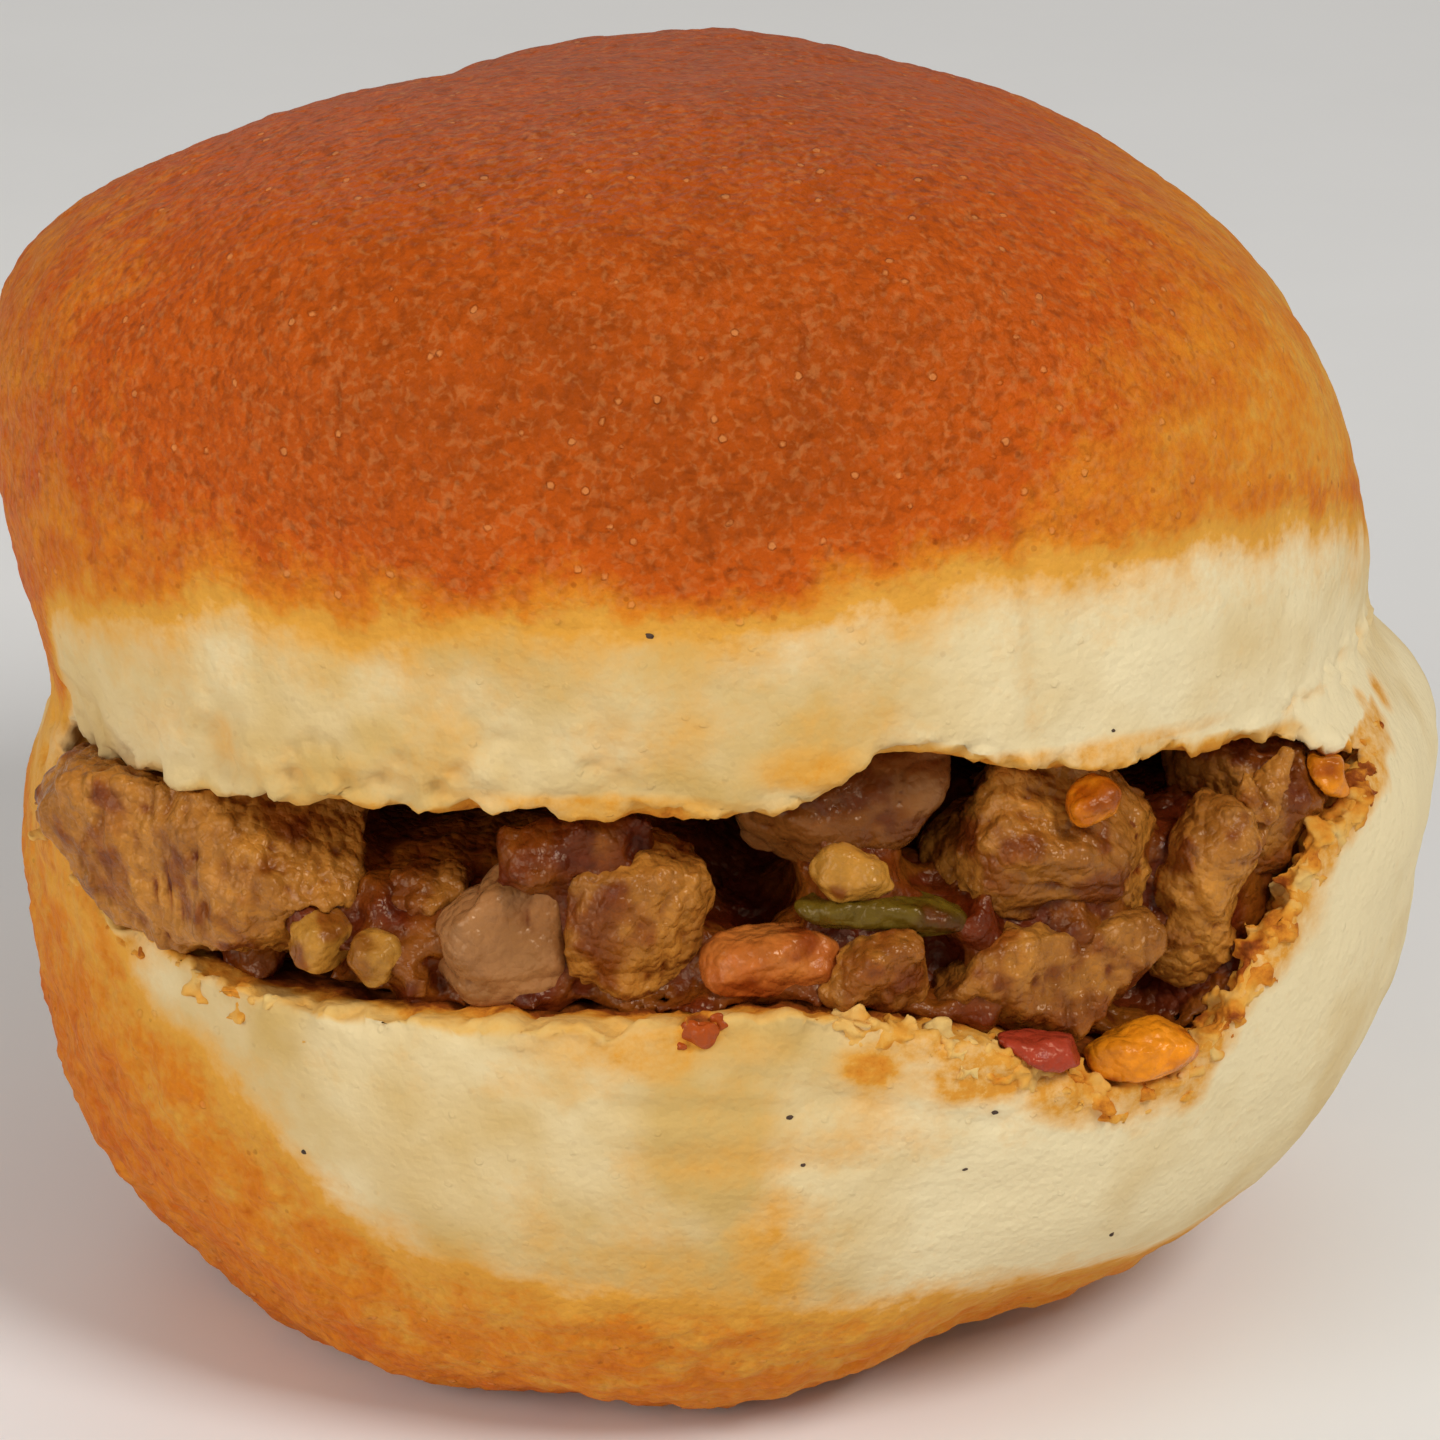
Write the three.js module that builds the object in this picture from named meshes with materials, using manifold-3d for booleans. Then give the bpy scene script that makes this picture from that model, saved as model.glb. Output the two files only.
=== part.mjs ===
// A fried bread ball, slit along its front and filled with chunky mince curry, lying on its flat base.
// Millimetres, +Z up, the slit faces -Y. The bread is one piece: a bowl-shaped lower half and a domed upper
// half, joined by a fold round the back and the right. The curry is a soft mass with large pieces set in it.
import * as THREE from 'three';
import { mergeVertices } from 'three/addons/utils/BufferGeometryUtils.js';
import Module from 'manifold-3d';

const { clamp, degToRad, euclideanModulo, lerp } = THREE.MathUtils;
const wasm = await Module();
wasm.setup();

// The lower half of the bread: how far its rim reaches to each side, and how full its wall is on each side.
const LOWER = {
  reach: { left: 53.6, right: 55.4, front: 49, back: 50 },
  fullness: { left: 2.15, right: 2.05, front: 2.1, back: 2.1 },
  rim: { left: 41.5, right: 39, front: 41.5, back: 32 },
  squareness: 2.1,
};
const FOOT = { radius: 23, centreX: -10, share: 0.16 };

// The upper half, before it is lifted. Its wall leans out over the tuck, then closes as a dome.
const UPPER = {
  reach: { left: 54.3, right: 49.4, front: 52, back: 49 },
  fullness: { left: 2.25, right: 1.9, front: 2.85, back: 2.85 },
  squareness: 2.45,
  height: 46.8,
};
const TUCK = {
  base: { left: 0, right: 5, front: -4, back: 5 },
  depth: { left: 0.06, right: 0.01, front: 0.1, back: 0 },
  height: 18,
  share: 0.36,
};

// The upper half hinges about a line along X at the back of the slit, and its right side sits lower.
const HINGE_Y = 35;
const HINGE_Z = 41.5;
const LIFT = degToRad(12);
const SIDE_DROP = Math.sin(degToRad(1.5));

// Levels run from 0 at the middle of the base to 1 at the top of the dome; the fold lies between the lips.
const LIP_LEVELS = { lower: 0.42, upper: 0.54 };
const FOLD_BULGE = { left: 0, right: 2.4, front: 0, back: 1.5 };
const BREAD_SEGMENTS = { round: 60, up: 37 };

// Swellings and dents of the outside: azimuth in degrees from +X, level, size, and spread along each.
const SWELLS = [
  { azimuth: 188, level: 0.78, size: 1.5, spread: [26, 0.07] },
  { azimuth: 157, level: 0.88, size: -3.6, spread: [26, 0.06] },
  { azimuth: 95, level: 0.96, size: 1.4, spread: [45, 0.05] },
  { azimuth: 350, level: 0.74, size: -1.6, spread: [28, 0.08] },
  { azimuth: 8, level: 0.46, size: 1.4, spread: [30, 0.04] },
  { azimuth: 312, level: 0.21, size: -2.4, spread: [16, 0.05] },
  { azimuth: 212, level: 0.21, size: -2, spread: [18, 0.06] },
  { azimuth: 330, level: 0.29, size: -0.6, spread: [18, 0.06] },
  { azimuth: 192, level: 0.31, size: 0.5, spread: [22, 0.06] },
  { azimuth: 350, level: 0.4, size: -1, spread: [22, 0.04] },
  { azimuth: 182, level: 0.58, size: -1.3, spread: [18, 0.07] },
  { azimuth: 285, level: 0.335, size: -0.7, spread: [14, 0.012] },
  { azimuth: 301, level: 0.6, size: -0.7, spread: [3, 0.06] },
];

// Slow waves of the outside, by their turns round the bread and up it.
const WAVES = [
  { size: 0.35, round: 5, up: 2.1, phase: 0.4 },
  { size: 0.3, round: 8, up: 3.3, phase: 2.1 },
  { size: 0.22, round: 13, up: 5.1, phase: 4 },
];

// The slit is open in front and at the front of the left side, and ends in the bread elsewhere.
const SLIT = { left: -62, leftBehind: -36, right: 47.5, rightBehind: 32, front: -70, inner: 37 };
const SLIT_SEGMENTS = { x: 30, y: 11 };
const CLEARANCE = 0.35;

// The soft mass of the curry: its plan, how far its top lies under the upper half, and its lumps.
const CORE = {
  reach: { left: 45, right: 43.5, front: 40.5, back: 30 },
  squareness: 3.4,
  headroom: 2.5,
  clearance: 0.9,
  lump: 0.8,
  segments: { round: 40, up: 10 },
};

// Crumbs of mince on the front of the mass, by X and Z, with their smallest and largest size.
const CRUMBS = [
  [-21, 45], [-12, 51.5], [-8, 52.5], [-11, 46.5], [-1.5, 43], [-9, 41.5], [3, 53.5], [19.5, 44.5],
  [25, 44], [29, 39], [33, 39.5], [34.5, 37], [36.5, 45.5], [38.5, 42], [41, 46],
];
const CRUMB_SIZE = [4.5, 7];
const CRUMB = { squareness: 2.8, lump: 0.2, cuts: 3, detail: 1 };

// Dark hollows in the front of the mass, between the pieces and under the upper lip.
const HOLLOWS = [
  { at: [-19.5, -38, 53], size: [14, 22, 9] },
  { at: [1.5, -38, 49], size: [6.5, 20, 12] },
  { at: [15.5, -36, 51], size: [6, 20, 11] },
  { at: [30.5, -34, 44], size: [4.5, 18, 9] },
];

// A chunk has a number of flat cuts, each at a share of its half size, as knife or teeth leave them.
const CUT_SHARE = [0.7, 0.9];
const MEAT = { look: 'meat', squareness: 2.8, lump: 0.12, cuts: 9, detail: 2 };
const SHREDDED = { look: 'meat', squareness: 2.2, lump: 0.2, cuts: 5, detail: 2 };
const ONION = { look: 'onion', squareness: 3, lump: 0.08, cuts: 4, detail: 2 };
const TOMATO = { ...ONION, look: 'tomato' };
const POTATO = { look: 'potato', squareness: 4.5, lump: 0.07, cuts: 3, detail: 1 };
const CARROT = { ...POTATO, look: 'carrot' };
const RED_PEPPER = { ...POTATO, look: 'redPepper' };
const GREEN_PEPPER = { ...POTATO, look: 'greenPepper' };

// The large pieces: centre, size along their own axes, and turn about X, Y and Z in degrees.
// A piece is cut back where it would cross one above it in the list.
const PIECES = [
  { name: 'carrot_top', kind: CARROT, at: [26.6, -40.5, 54.6], size: [3.2, 3, 3.4], turn: [10, 35, 15] },
  { name: 'potato_left', kind: POTATO, at: [-28.2, -40, 43.6], size: [4.6, 4, 4.4], turn: [20, 15, 30] },
  { name: 'potato_left_low', kind: POTATO, at: [-24.3, -42, 43.4], size: [4, 3.6, 3.6], turn: [40, 5, 60] },
  { name: 'meat_left', kind: MEAT, at: [-37.4, -28.4, 47], size: [34, 17, 22], turn: [0, 4, -37] },
  { name: 'meat_centre', kind: MEAT, at: [-6, -40.5, 46.3], size: [11, 9.5, 13.5], turn: [0, 12, 10] },
  { name: 'onion_grey', kind: ONION, at: [-15, -41, 45], size: [9.5, 7, 9.5], turn: [10, -12, 8] },
  { name: 'meat_centre_left', kind: SHREDDED, at: [-21, -38, 43.8], size: [9, 8, 9], turn: [0, 20, -20] },
  { name: 'tomato_centre', kind: TOMATO, at: [4, -43, 43.5], size: [9.5, 6, 4.6], turn: [-8, -6, 5] },
  { name: 'onion_brown', kind: ONION, at: [9, -37, 53.2], size: [16, 10, 7.6], turn: [5, -14, 6] },
  { name: 'potato_centre', kind: POTATO, at: [9.3, -42.6, 49.6], size: [4.8, 3.6, 4], turn: [0, 30, 20] },
  { name: 'green_pepper', kind: GREEN_PEPPER, at: [11.5, -41, 46.4], size: [12, 6, 2.6], turn: [-14, 5, 4] },
  { name: 'meat_low_centre', kind: SHREDDED, at: [11.5, -42, 41.8], size: [8, 7, 6.5], turn: [0, 0, 15] },
  { name: 'meat_right', kind: MEAT, at: [24.2, -34.5, 49.3], size: [17.5, 15, 13.5], turn: [0, 10, 20] },
  { name: 'meat_low_right', kind: MEAT, at: [23.4, -38, 40.4], size: [18, 11.5, 11], turn: [0, -4, 12] },
  { name: 'red_pepper', kind: RED_PEPPER, at: [22.5, -44, 36.8], size: [8, 4, 2.4], turn: [0, 3, 14] },
  { name: 'carrot_front', kind: CARROT, at: [30.5, -40.5, 35.2], size: [8, 5, 3.4], turn: [0, -6, 24] },
  { name: 'meat_upright', kind: SHREDDED, at: [34.5, -32.5, 44.5], size: [6.5, 8.5, 13], turn: [0, 14, 35] },
  { name: 'meat_far_right', kind: SHREDDED, at: [39, -25, 50], size: [9, 12, 11], turn: [0, 20, 50] },
  { name: 'carrot_far_right', kind: CARROT, at: [44.2, -27.5, 51.2], size: [4, 4, 3.6], turn: [15, 10, 40] },
];

const LOOKS = {
  bread: { color: 0xc67a33, roughness: 0.62 },
  curry: { color: 0x6f3a17, roughness: 0.35 },
  meat: { color: 0x8a5a30, roughness: 0.45 },
  onion: { color: 0x8d6a48, roughness: 0.35 },
  potato: { color: 0xb98f3e, roughness: 0.4 },
  tomato: { color: 0xa8481a, roughness: 0.3 },
  carrot: { color: 0xd9741a, roughness: 0.35 },
  redPepper: { color: 0x9c2716, roughness: 0.3 },
  greenPepper: { color: 0x6b6420, roughness: 0.3 },
};

const X_AXIS = new THREE.Vector3(1, 0, 0);
const BREAD_HEART = new THREE.Vector3(0, 0, HINGE_Z);
const HINGE = new THREE.Vector3(0, HINGE_Y, HINGE_Z);

function bump(x, centre, width) {
  return Math.exp(-(((x - centre) / width) ** 2));
}

function step(x, from, to) {
  return THREE.MathUtils.smoothstep(x, from, to);
}

// Mulberry's small generator, so that every run gives the same part.
function randomFrom(seed) {
  let state = seed * 7919;
  return () => {
    state = (state + 0x6d2b79f5) | 0;
    let t = Math.imul(state ^ (state >>> 15), 1 | state);
    t = (t + Math.imul(t ^ (t >>> 7), 61 | t)) ^ t;
    return ((t ^ (t >>> 14)) >>> 0) / 4294967296;
  };
}

function outwardAt(azimuth) {
  return new THREE.Vector3(Math.cos(azimuth), Math.sin(azimuth), 0);
}

// A value given for the four sides, blended by azimuth.
function bySide(sides, azimuth) {
  const c = Math.cos(azimuth);
  const s = Math.sin(azimuth);
  return (c > 0 ? sides.right : sides.left) * c * c + (s > 0 ? sides.back : sides.front) * s * s;
}

// A point on a rounded square whose four sides lie at the given distances.
function ringPoint(reach, squareness, azimuth, scale, z) {
  const c = Math.cos(azimuth);
  const s = Math.sin(azimuth);
  const k = scale * (Math.abs(c) ** squareness + Math.abs(s) ** squareness) ** (-1 / squareness);
  const halfX = c > 0 ? reach.right : reach.left;
  const halfY = s > 0 ? reach.back : reach.front;
  return new THREE.Vector3(k * c * halfX, k * s * halfY, z);
}

function lowerHalf(azimuth, t) {
  const centre = new THREE.Vector3(FOOT.centreX, 0, 0);
  const edge = outwardAt(azimuth).multiplyScalar(FOOT.radius).add(centre);
  if (t <= FOOT.share) return centre.lerp(edge, t / FOOT.share);
  const angle = (t - FOOT.share) / (1 - FOOT.share) * Math.PI / 2;
  const power = 2 / bySide(LOWER.fullness, azimuth);
  const point = edge.lerp(ringPoint(LOWER.reach, LOWER.squareness, azimuth, 1, 0), Math.sin(angle) ** power);
  point.z = bySide(LOWER.rim, azimuth) * (1 - Math.abs(Math.cos(angle)) ** power);
  return point;
}

function upperHalf(azimuth, t) {
  const along = clamp(t / TUCK.share, 0, 1);
  let scale = 1 - bySide(TUCK.depth, azimuth) * (1 - along) ** 2;
  let height = lerp(bySide(TUCK.base, azimuth), TUCK.height, along);
  if (t > TUCK.share) {
    const angle = (t - TUCK.share) / (1 - TUCK.share) * Math.PI / 2;
    const power = 2 / bySide(UPPER.fullness, azimuth);
    scale = Math.abs(Math.cos(angle)) ** power;
    height = lerp(TUCK.height, UPPER.height, Math.sin(angle) ** power);
  }
  const point = ringPoint(UPPER.reach, UPPER.squareness, azimuth, scale, HINGE_Z);
  point.z += height - point.x * SIDE_DROP * clamp(height / TUCK.height, 0, 1);
  return point.sub(HINGE).applyAxisAngle(X_AXIS, -LIFT).add(HINGE);
}

function swelling(azimuth, level) {
  const degrees = THREE.MathUtils.radToDeg(azimuth);
  const swells = SWELLS.reduce((sum, swell) => {
    const away = euclideanModulo(degrees - swell.azimuth + 180, 360) - 180;
    return sum + swell.size * bump(away, 0, swell.spread[0]) * bump(level, swell.level, swell.spread[1]);
  }, 0);
  const waves = WAVES.reduce(
    (sum, { size, round, up, phase }) => {
      const angle = round * azimuth + 2 * Math.PI * up * level + phase;
      return sum + size * Math.sin(angle);
    }, 0);
  return (swells + waves * step(1 - level, 0.03, 0.3)) * step(level, 0.07, 0.16);
}

// A point of the bread's outside, before the slit is cut.
function breadPoint(azimuth, level) {
  const { lower, upper } = LIP_LEVELS;
  const point = lowerHalf(azimuth, clamp(level / lower, 0, 1));
  if (level > lower) {
    const fold = clamp((level - lower) / (upper - lower), 0, 1);
    point.lerp(upperHalf(azimuth, clamp((level - upper) / (1 - upper), 0, 1)), fold);
    point.addScaledVector(outwardAt(azimuth), bySide(FOLD_BULGE, azimuth) * Math.sin(Math.PI * fold));
  }
  const outward = point.clone().sub(BREAD_HEART).normalize();
  return point.addScaledVector(outward, swelling(azimuth, level));
}

// The height of the lower lip by X: high at the left end, dipping right of the middle, climbing to the fold.
function lowerLip(x) {
  const ends = 8 * step(-x, 44, 51) + 6 * step(x, 33, 42) + 5 * step(x, 40, 46);
  return 41 + ends - 1.6 * bump(x, -30, 13) + 1.2 * bump(x, 3, 8) - 8.5 * bump(x, 31, 11);
}

// How far the upper lip hangs below the lifted line, by X.
function upperLipDrop(x) {
  return 3.4 - 4.6 * step(x, 4, 12) - 0.8 * bump(x, 14, 4) + 1.4 * step(x, 15, 20) + 4 * step(x, 41, 46);
}

function slitFloor(x, y) {
  const inside = 1 - Math.abs(x / 54) ** 2.2 - Math.abs(y / 49) ** 2.2;
  return lerp(lowerLip(x), SLIT.inner, step(inside, 0.1, 0.6));
}

function slitCeiling(x, y) {
  const open = Math.max(0, (HINGE_Y - y) / (HINGE_Y + UPPER.reach.front));
  const lifted = HINGE_Z + (HINGE_Y - y) * Math.tan(LIFT) - upperLipDrop(x) * open;
  return Math.max(lifted, slitFloor(x, y) + 0.5);
}

function slitLeft(y) {
  return lerp(SLIT.left, SLIT.leftBehind, step(y, -26, -8));
}

function slitRight(y) {
  return lerp(SLIT.right, SLIT.rightBehind, step(y, -25, HINGE_Y));
}

function solidOf(geometry) {
  const bare = geometry.clone();
  bare.deleteAttribute('normal');
  bare.deleteAttribute('uv');
  const merged = mergeVertices(bare, 1e-4);
  return new wasm.Manifold(new wasm.Mesh({
    numProp: 3,
    vertProperties: new Float32Array(merged.attributes.position.array),
    triVerts: new Uint32Array(merged.index.array),
  }));
}

// A sphere's grid, each vertex moved to where place(azimuth, level) says.
function roundSolid(place, segments) {
  const geometry = new THREE.SphereGeometry(1, segments.round, segments.up);
  const { position, uv } = geometry.attributes;
  for (let i = 0; i < position.count; i++) {
    const level = uv.getY(i);
    const atPole = level <= 0 || level >= 1;
    const azimuth = atPole ? 0 : 2 * Math.PI * euclideanModulo(uv.getX(i) + 0.5, 1);
    position.setXYZ(i, ...place(azimuth, level));
  }
  return solidOf(geometry);
}

// The space of the slit, or that space less a margin all round.
function slitSolid(margin) {
  const geometry = new THREE.BoxGeometry(1, 1, 1, SLIT_SEGMENTS.x, SLIT_SEGMENTS.y, 1);
  const { position } = geometry.attributes;
  for (let i = 0; i < position.count; i++) {
    const gridY = lerp(SLIT.front, HINGE_Y, position.getY(i) + 0.5);
    const gridX = lerp(slitLeft(gridY), slitRight(gridY), position.getX(i) + 0.5);
    const y = Math.min(gridY, HINGE_Y - margin);
    const x = clamp(gridX, slitLeft(gridY) + margin, slitRight(gridY) - margin);
    const isFloor = position.getZ(i) < 0;
    position.setXYZ(i, x, y, isFloor ? slitFloor(gridX, gridY) + margin : slitCeiling(gridX, gridY) - margin);
  }
  return solidOf(geometry);
}

function breadSolid() {
  return roundSolid(breadPoint, BREAD_SEGMENTS).subtract(slitSolid(0));
}

// Soft lumps over a direction: a few waves whose directions and phases come from the seed.
function lumpsOf(seed, size) {
  const random = randomFrom(seed);
  const waves = Array.from({ length: 5 }, (_, k) => ({
    axis: new THREE.Vector3(random() - 0.5, random() - 0.5, random() - 0.5).setLength(1.6 + 0.9 * k),
    phase: 2 * Math.PI * random(),
  }));
  return (direction) => waves.reduce(
    (sum, wave, k) => sum + size / (1 + 0.35 * k) * Math.sin(wave.axis.dot(direction) + wave.phase), 0);
}

// A flat cut takes off the far side of a chunk in a random direction.
function trimmed(solid, { kind, at, turned, halfSize }, seed, margin) {
  const random = randomFrom(seed + 500);
  const centre = new THREE.Vector3(...at);
  return Array.from({ length: kind.cuts }).reduce((rest) => {
    const towards = new THREE.Vector3(random() - 0.5, random() - 0.5, random() - 0.5).normalize();
    const reach = towards.clone().multiply(halfSize).length() * lerp(...CUT_SHARE, random()) + margin;
    const inward = towards.applyEuler(turned).negate();
    return rest.trimByPlane(inward.toArray(), inward.dot(centre) - reach);
  }, solid);
}

// A piece of meat or vegetable, grown by a margin on every side. Its seed sets its lumps and cuts.
function pieceSolid({ kind, at, size, turn }, seed, margin) {
  const geometry = new THREE.IcosahedronGeometry(1, kind.detail);
  const lumps = lumpsOf(seed, kind.lump);
  const { position } = geometry.attributes;
  const turned = new THREE.Euler(...turn.map(degToRad));
  const halfSize = new THREE.Vector3(...size).divideScalar(2);
  const centre = new THREE.Vector3(...at);
  const direction = new THREE.Vector3();
  for (let i = 0; i < position.count; i++) {
    direction.fromBufferAttribute(position, i).normalize();
    const powers = direction.toArray().reduce((sum, part) => sum + Math.abs(part) ** kind.squareness, 0);
    const out = powers ** (-1 / kind.squareness) * (1 + lumps(direction));
    const point = direction.clone().multiplyScalar(out).multiply(halfSize).addScaledVector(direction, margin);
    point.applyEuler(turned).add(centre);
    position.setXYZ(i, ...point);
  }
  return trimmed(solidOf(geometry), { kind, at, turned, halfSize }, seed, margin);
}

function largestBody(solid) {
  return solid.decompose().reduce((best, body) => (body.volume() > best.volume() ? body : best));
}

// The large pieces, each cut back where it would cross the bread or a piece before it.
function placedPieces(room) {
  const grown = PIECES.map((piece, index) => pieceSolid(piece, index, CLEARANCE));
  return PIECES.map((piece, index) => {
    const whole = pieceSolid(piece, index, 0).intersect(room);
    const solid = largestBody(grown.slice(0, index).reduce((rest, other) => rest.subtract(other), whole));
    return { name: piece.name, look: piece.kind.look, solid, grown: grown[index] };
  });
}

function corePoint(azimuth, level) {
  const lumps = CORE.lump * (Math.sin(7 * azimuth + 9 * level) + Math.sin(11 * azimuth - 14 * level + 2));
  const angle = Math.PI * (level - 0.5);
  const wide = Math.abs(Math.cos(angle)) ** 0.6;
  const point = ringPoint(CORE.reach, CORE.squareness, azimuth, wide, 0);
  const rise = 0.5 + 0.5 * Math.sign(angle) * Math.abs(Math.sin(angle)) ** 0.6;
  const floor = slitFloor(point.x, point.y) + CORE.clearance;
  const ceiling = slitCeiling(point.x, point.y) - CORE.headroom * step(-point.y, 5, 35) - CORE.clearance;
  point.z = lerp(floor, ceiling, rise);
  return point.addScaledVector(outwardAt(azimuth), lumps * wide);
}

function coreFront(x) {
  const across = Math.abs(x / CORE.reach.right) ** CORE.squareness;
  return -CORE.reach.front * (1 - across) ** (1 / CORE.squareness);
}

function crumbSolids() {
  const random = randomFrom(CRUMBS.length);
  return CRUMBS.map(([x, z], index) => {
    const size = [0, 0, 0].map(() => lerp(...CRUMB_SIZE, random()));
    const turn = [0, 0, 0].map(() => 360 * random());
    return pieceSolid({ kind: CRUMB, at: [x, coreFront(x), z], size, turn }, PIECES.length + index, 0);
  });
}

function hollowSolids() {
  return HOLLOWS.map((hollow, index) => {
    return pieceSolid({ kind: CRUMB, turn: [0, 0, 0], ...hollow }, 2 * PIECES.length + index, 0);
  });
}

function currySolid(room, pieces) {
  const core = hollowSolids().reduce(
    (solid, hollow) => solid.subtract(hollow), roundSolid(corePoint, CORE.segments));
  const mass = crumbSolids().reduce((solid, crumb) => solid.add(crumb), core).intersect(room);
  return largestBody(pieces.reduce((solid, piece) => solid.subtract(piece.grown), mass));
}

function meshOf(name, solid, look) {
  const made = solid.getMesh();
  const geometry = new THREE.BufferGeometry();
  geometry.setAttribute('position', new THREE.BufferAttribute(new Float32Array(made.vertProperties), 3));
  geometry.setIndex(new THREE.BufferAttribute(new Uint32Array(made.triVerts), 1));
  geometry.computeVertexNormals();
  const mesh = new THREE.Mesh(geometry, new THREE.MeshStandardMaterial({ metalness: 0, ...look }));
  mesh.name = name;
  return mesh;
}

const room = slitSolid(CLEARANCE);
const pieces = placedPieces(room);
const vetkoek = new THREE.Group();
vetkoek.add(meshOf('bread', breadSolid(), LOOKS.bread));
vetkoek.add(meshOf('curry_mince', currySolid(room, pieces), LOOKS.curry));
pieces.forEach(({ name, solid, look }) => vetkoek.add(meshOf(name, solid, LOOKS[look])));

// The origin is the middle of the bounding box, on the plane that the bread rests on.
const box = new THREE.Box3().setFromObject(vetkoek);
vetkoek.position.set(-(box.min.x + box.max.x) / 2, -(box.min.y + box.max.y) / 2, -box.min.z);

export default vetkoek;
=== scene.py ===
import math
from functools import cached_property

import bmesh
import bpy
import numpy as np
from bpy.props import FloatProperty, FloatVectorProperty, IntProperty, PointerProperty
from bpy.types import Operator, Panel, PropertyGroup
from mathutils import Euler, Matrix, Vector, kdtree


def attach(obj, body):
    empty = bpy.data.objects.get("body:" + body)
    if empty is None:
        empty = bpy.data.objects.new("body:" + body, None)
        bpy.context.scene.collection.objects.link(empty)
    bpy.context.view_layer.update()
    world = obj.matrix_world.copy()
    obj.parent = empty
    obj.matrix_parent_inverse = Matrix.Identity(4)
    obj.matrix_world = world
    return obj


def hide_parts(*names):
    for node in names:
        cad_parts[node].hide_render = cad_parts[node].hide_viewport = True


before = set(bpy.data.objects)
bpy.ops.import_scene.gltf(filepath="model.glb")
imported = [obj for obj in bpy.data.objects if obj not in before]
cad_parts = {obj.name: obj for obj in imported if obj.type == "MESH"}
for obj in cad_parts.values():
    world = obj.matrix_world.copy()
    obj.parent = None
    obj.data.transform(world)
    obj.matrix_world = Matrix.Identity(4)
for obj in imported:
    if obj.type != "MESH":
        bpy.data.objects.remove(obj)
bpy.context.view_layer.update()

bl_info = {
    "name": "Mince curry vetkoek",
    "version": (1, 0, 0),
    "blender": (4, 5, 0),
    "location": "View3D > Sidebar > Vetkoek",
    "description": "Dresses a fried bread bun filled with mince curry: crust, crumb, sauce and pieces",
    "category": "Object",
}

MM = 0.001

# The middle of the bread's own plan, from which its shape is described, in millimetres from the origin.
BREAD_MIDDLE = np.array([-0.8, -2.4, 0.0])
# The hinge at the back about which the upper half is lifted, and how fast the seam rises in front of it.
HINGE_Y, HINGE_Z = 35.0, 41.5
LIFT_SLOPE = math.tan(math.radians(12))
# Half widths of the bread's plan along X and Y, and the power that rounds its outline.
RIM_HALVES, RIM_POWER = (54.0, 49.0), 2.2
# What lies lower than this over the lifted seam belongs to the lower half.
LOWER_HALF_TOP = -6
# The slit's lowest height and its right end.
SLIT_FLOOR_Z, SLIT_RIGHT_X = 29, 48
# Faces of the bread's solid that meet at more than this angle, in degrees, make a lip of the slit.
LIP_ANGLE = 38

# Where browning ends, by azimuth from +X: over the lifted seam on the upper half, by height on the lower.
UPPER_BROWN = {
    0: 14, 45: 10, 90: 8, 135: 3, 180: 0, 200: 1, 207: 10, 226: 12.2, 244: 12, 260: 13.1, 270: 12,
    281: 13.7, 307: 17.4, 326: 16.8, 350: 14.9, 360: 14,
}
LOWER_BROWN = {
    0: 9.5, 45: 14, 90: 20, 135: 30, 180: 43, 210: 43, 214: 36, 220: 31, 227: 29.5, 232: 23, 239: 19,
    250: 16.5, 263: 16.5, 283: 13, 292: 12.6, 298: 12, 325: 8.5, 360: 9.5,
}

# How brown the bread is, by its distance past the place where browning ends, in millimetres.
UPPER_BROWNING = {-8: 0, -4: 0.07, -1.5: 0.22, 0.3: 0.4, 2.5: 0.62, 8: 0.86, 14: 0.93, 27: 0.84}
LOWER_BROWNING = {-6: 0, -3: 0.1, -0.5: 0.27, 2: 0.36, 5: 0.38, 10: 0.39, 16: 0.48}

# Sauce that soaked into the outside of the bread, and one mark of painted shade in a dent: X, Z, half width,
# half height, strength.
SAUCE_AND_SHADE_MARKS = [
    (-5.0, 39.0, 8.0, 1.8, 0.27), (-1.4, 40.3, 1.4, 1.3, 0.7), (10.8, 36.4, 2.4, 2.3, 0.46),
    (19.5, 35.6, 7.5, 1.6, 0.34), (28.5, 33.6, 4.5, 1.6, 0.36), (34.5, 36.5, 2.2, 3.0, 0.34),
    (-46.5, 38.6, 4.5, 1.2, 0.34),
    (-50.6, 41.2, 1.2, 2.2, 0.46), (-50.6, 46.0, 1.8, 6.0, 0.3), (-36.0, 39.8, 6.0, 0.9, 0.4),
    # The first mark on the next line is not sauce but painted shade in the dent of the crease at X -35.3.
    (-35.3, 58.3, 1.1, 2.4, 0.14), (7.5, 59.6, 4.5, 1.6, 0.28), (-8.0, 56.6, 9.0, 0.7, 0.28),
    (24.0, 58.7, 9.0, 0.8, 0.26), (40.0, 44.0, 3.0, 4.0, 0.42),
]
# Sauce marks on the side of the fold, where depth matters too: X, Y, Z, radius, strength.
FOLD_MARKS = [(49.4, -13.7, 52.3, 1.4, 0.3), (47.2, -18.5, 53.4, 0.9, 0.22)]
# Patches of the pale side that are golden instead of cream: X, Z, half width, half height, strength.
GOLDEN_PATCHES = [
    (-9.0, 21.5, 8.0, 4.5, 0.09), (4.3, 29.7, 12.0, 2.0, 0.08), (-5.0, 64.5, 7.0, 6.0, 0.08),
    (9.0, 62.0, 5.0, 5.0, 0.07), (-30.0, 58.0, 12.0, 3.0, 0.05), (22.0, 66.0, 1.2, 5.0, 0.08),
    (-19.0, 62.0, 4.0, 6.0, 0.05), (16.0, 33.0, 13.0, 2.2, 0.06), (-33.0, 31.0, 4.0, 6.0, 0.05),
    (-8.0, 36.0, 14.0, 1.6, 0.06),
]

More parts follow.
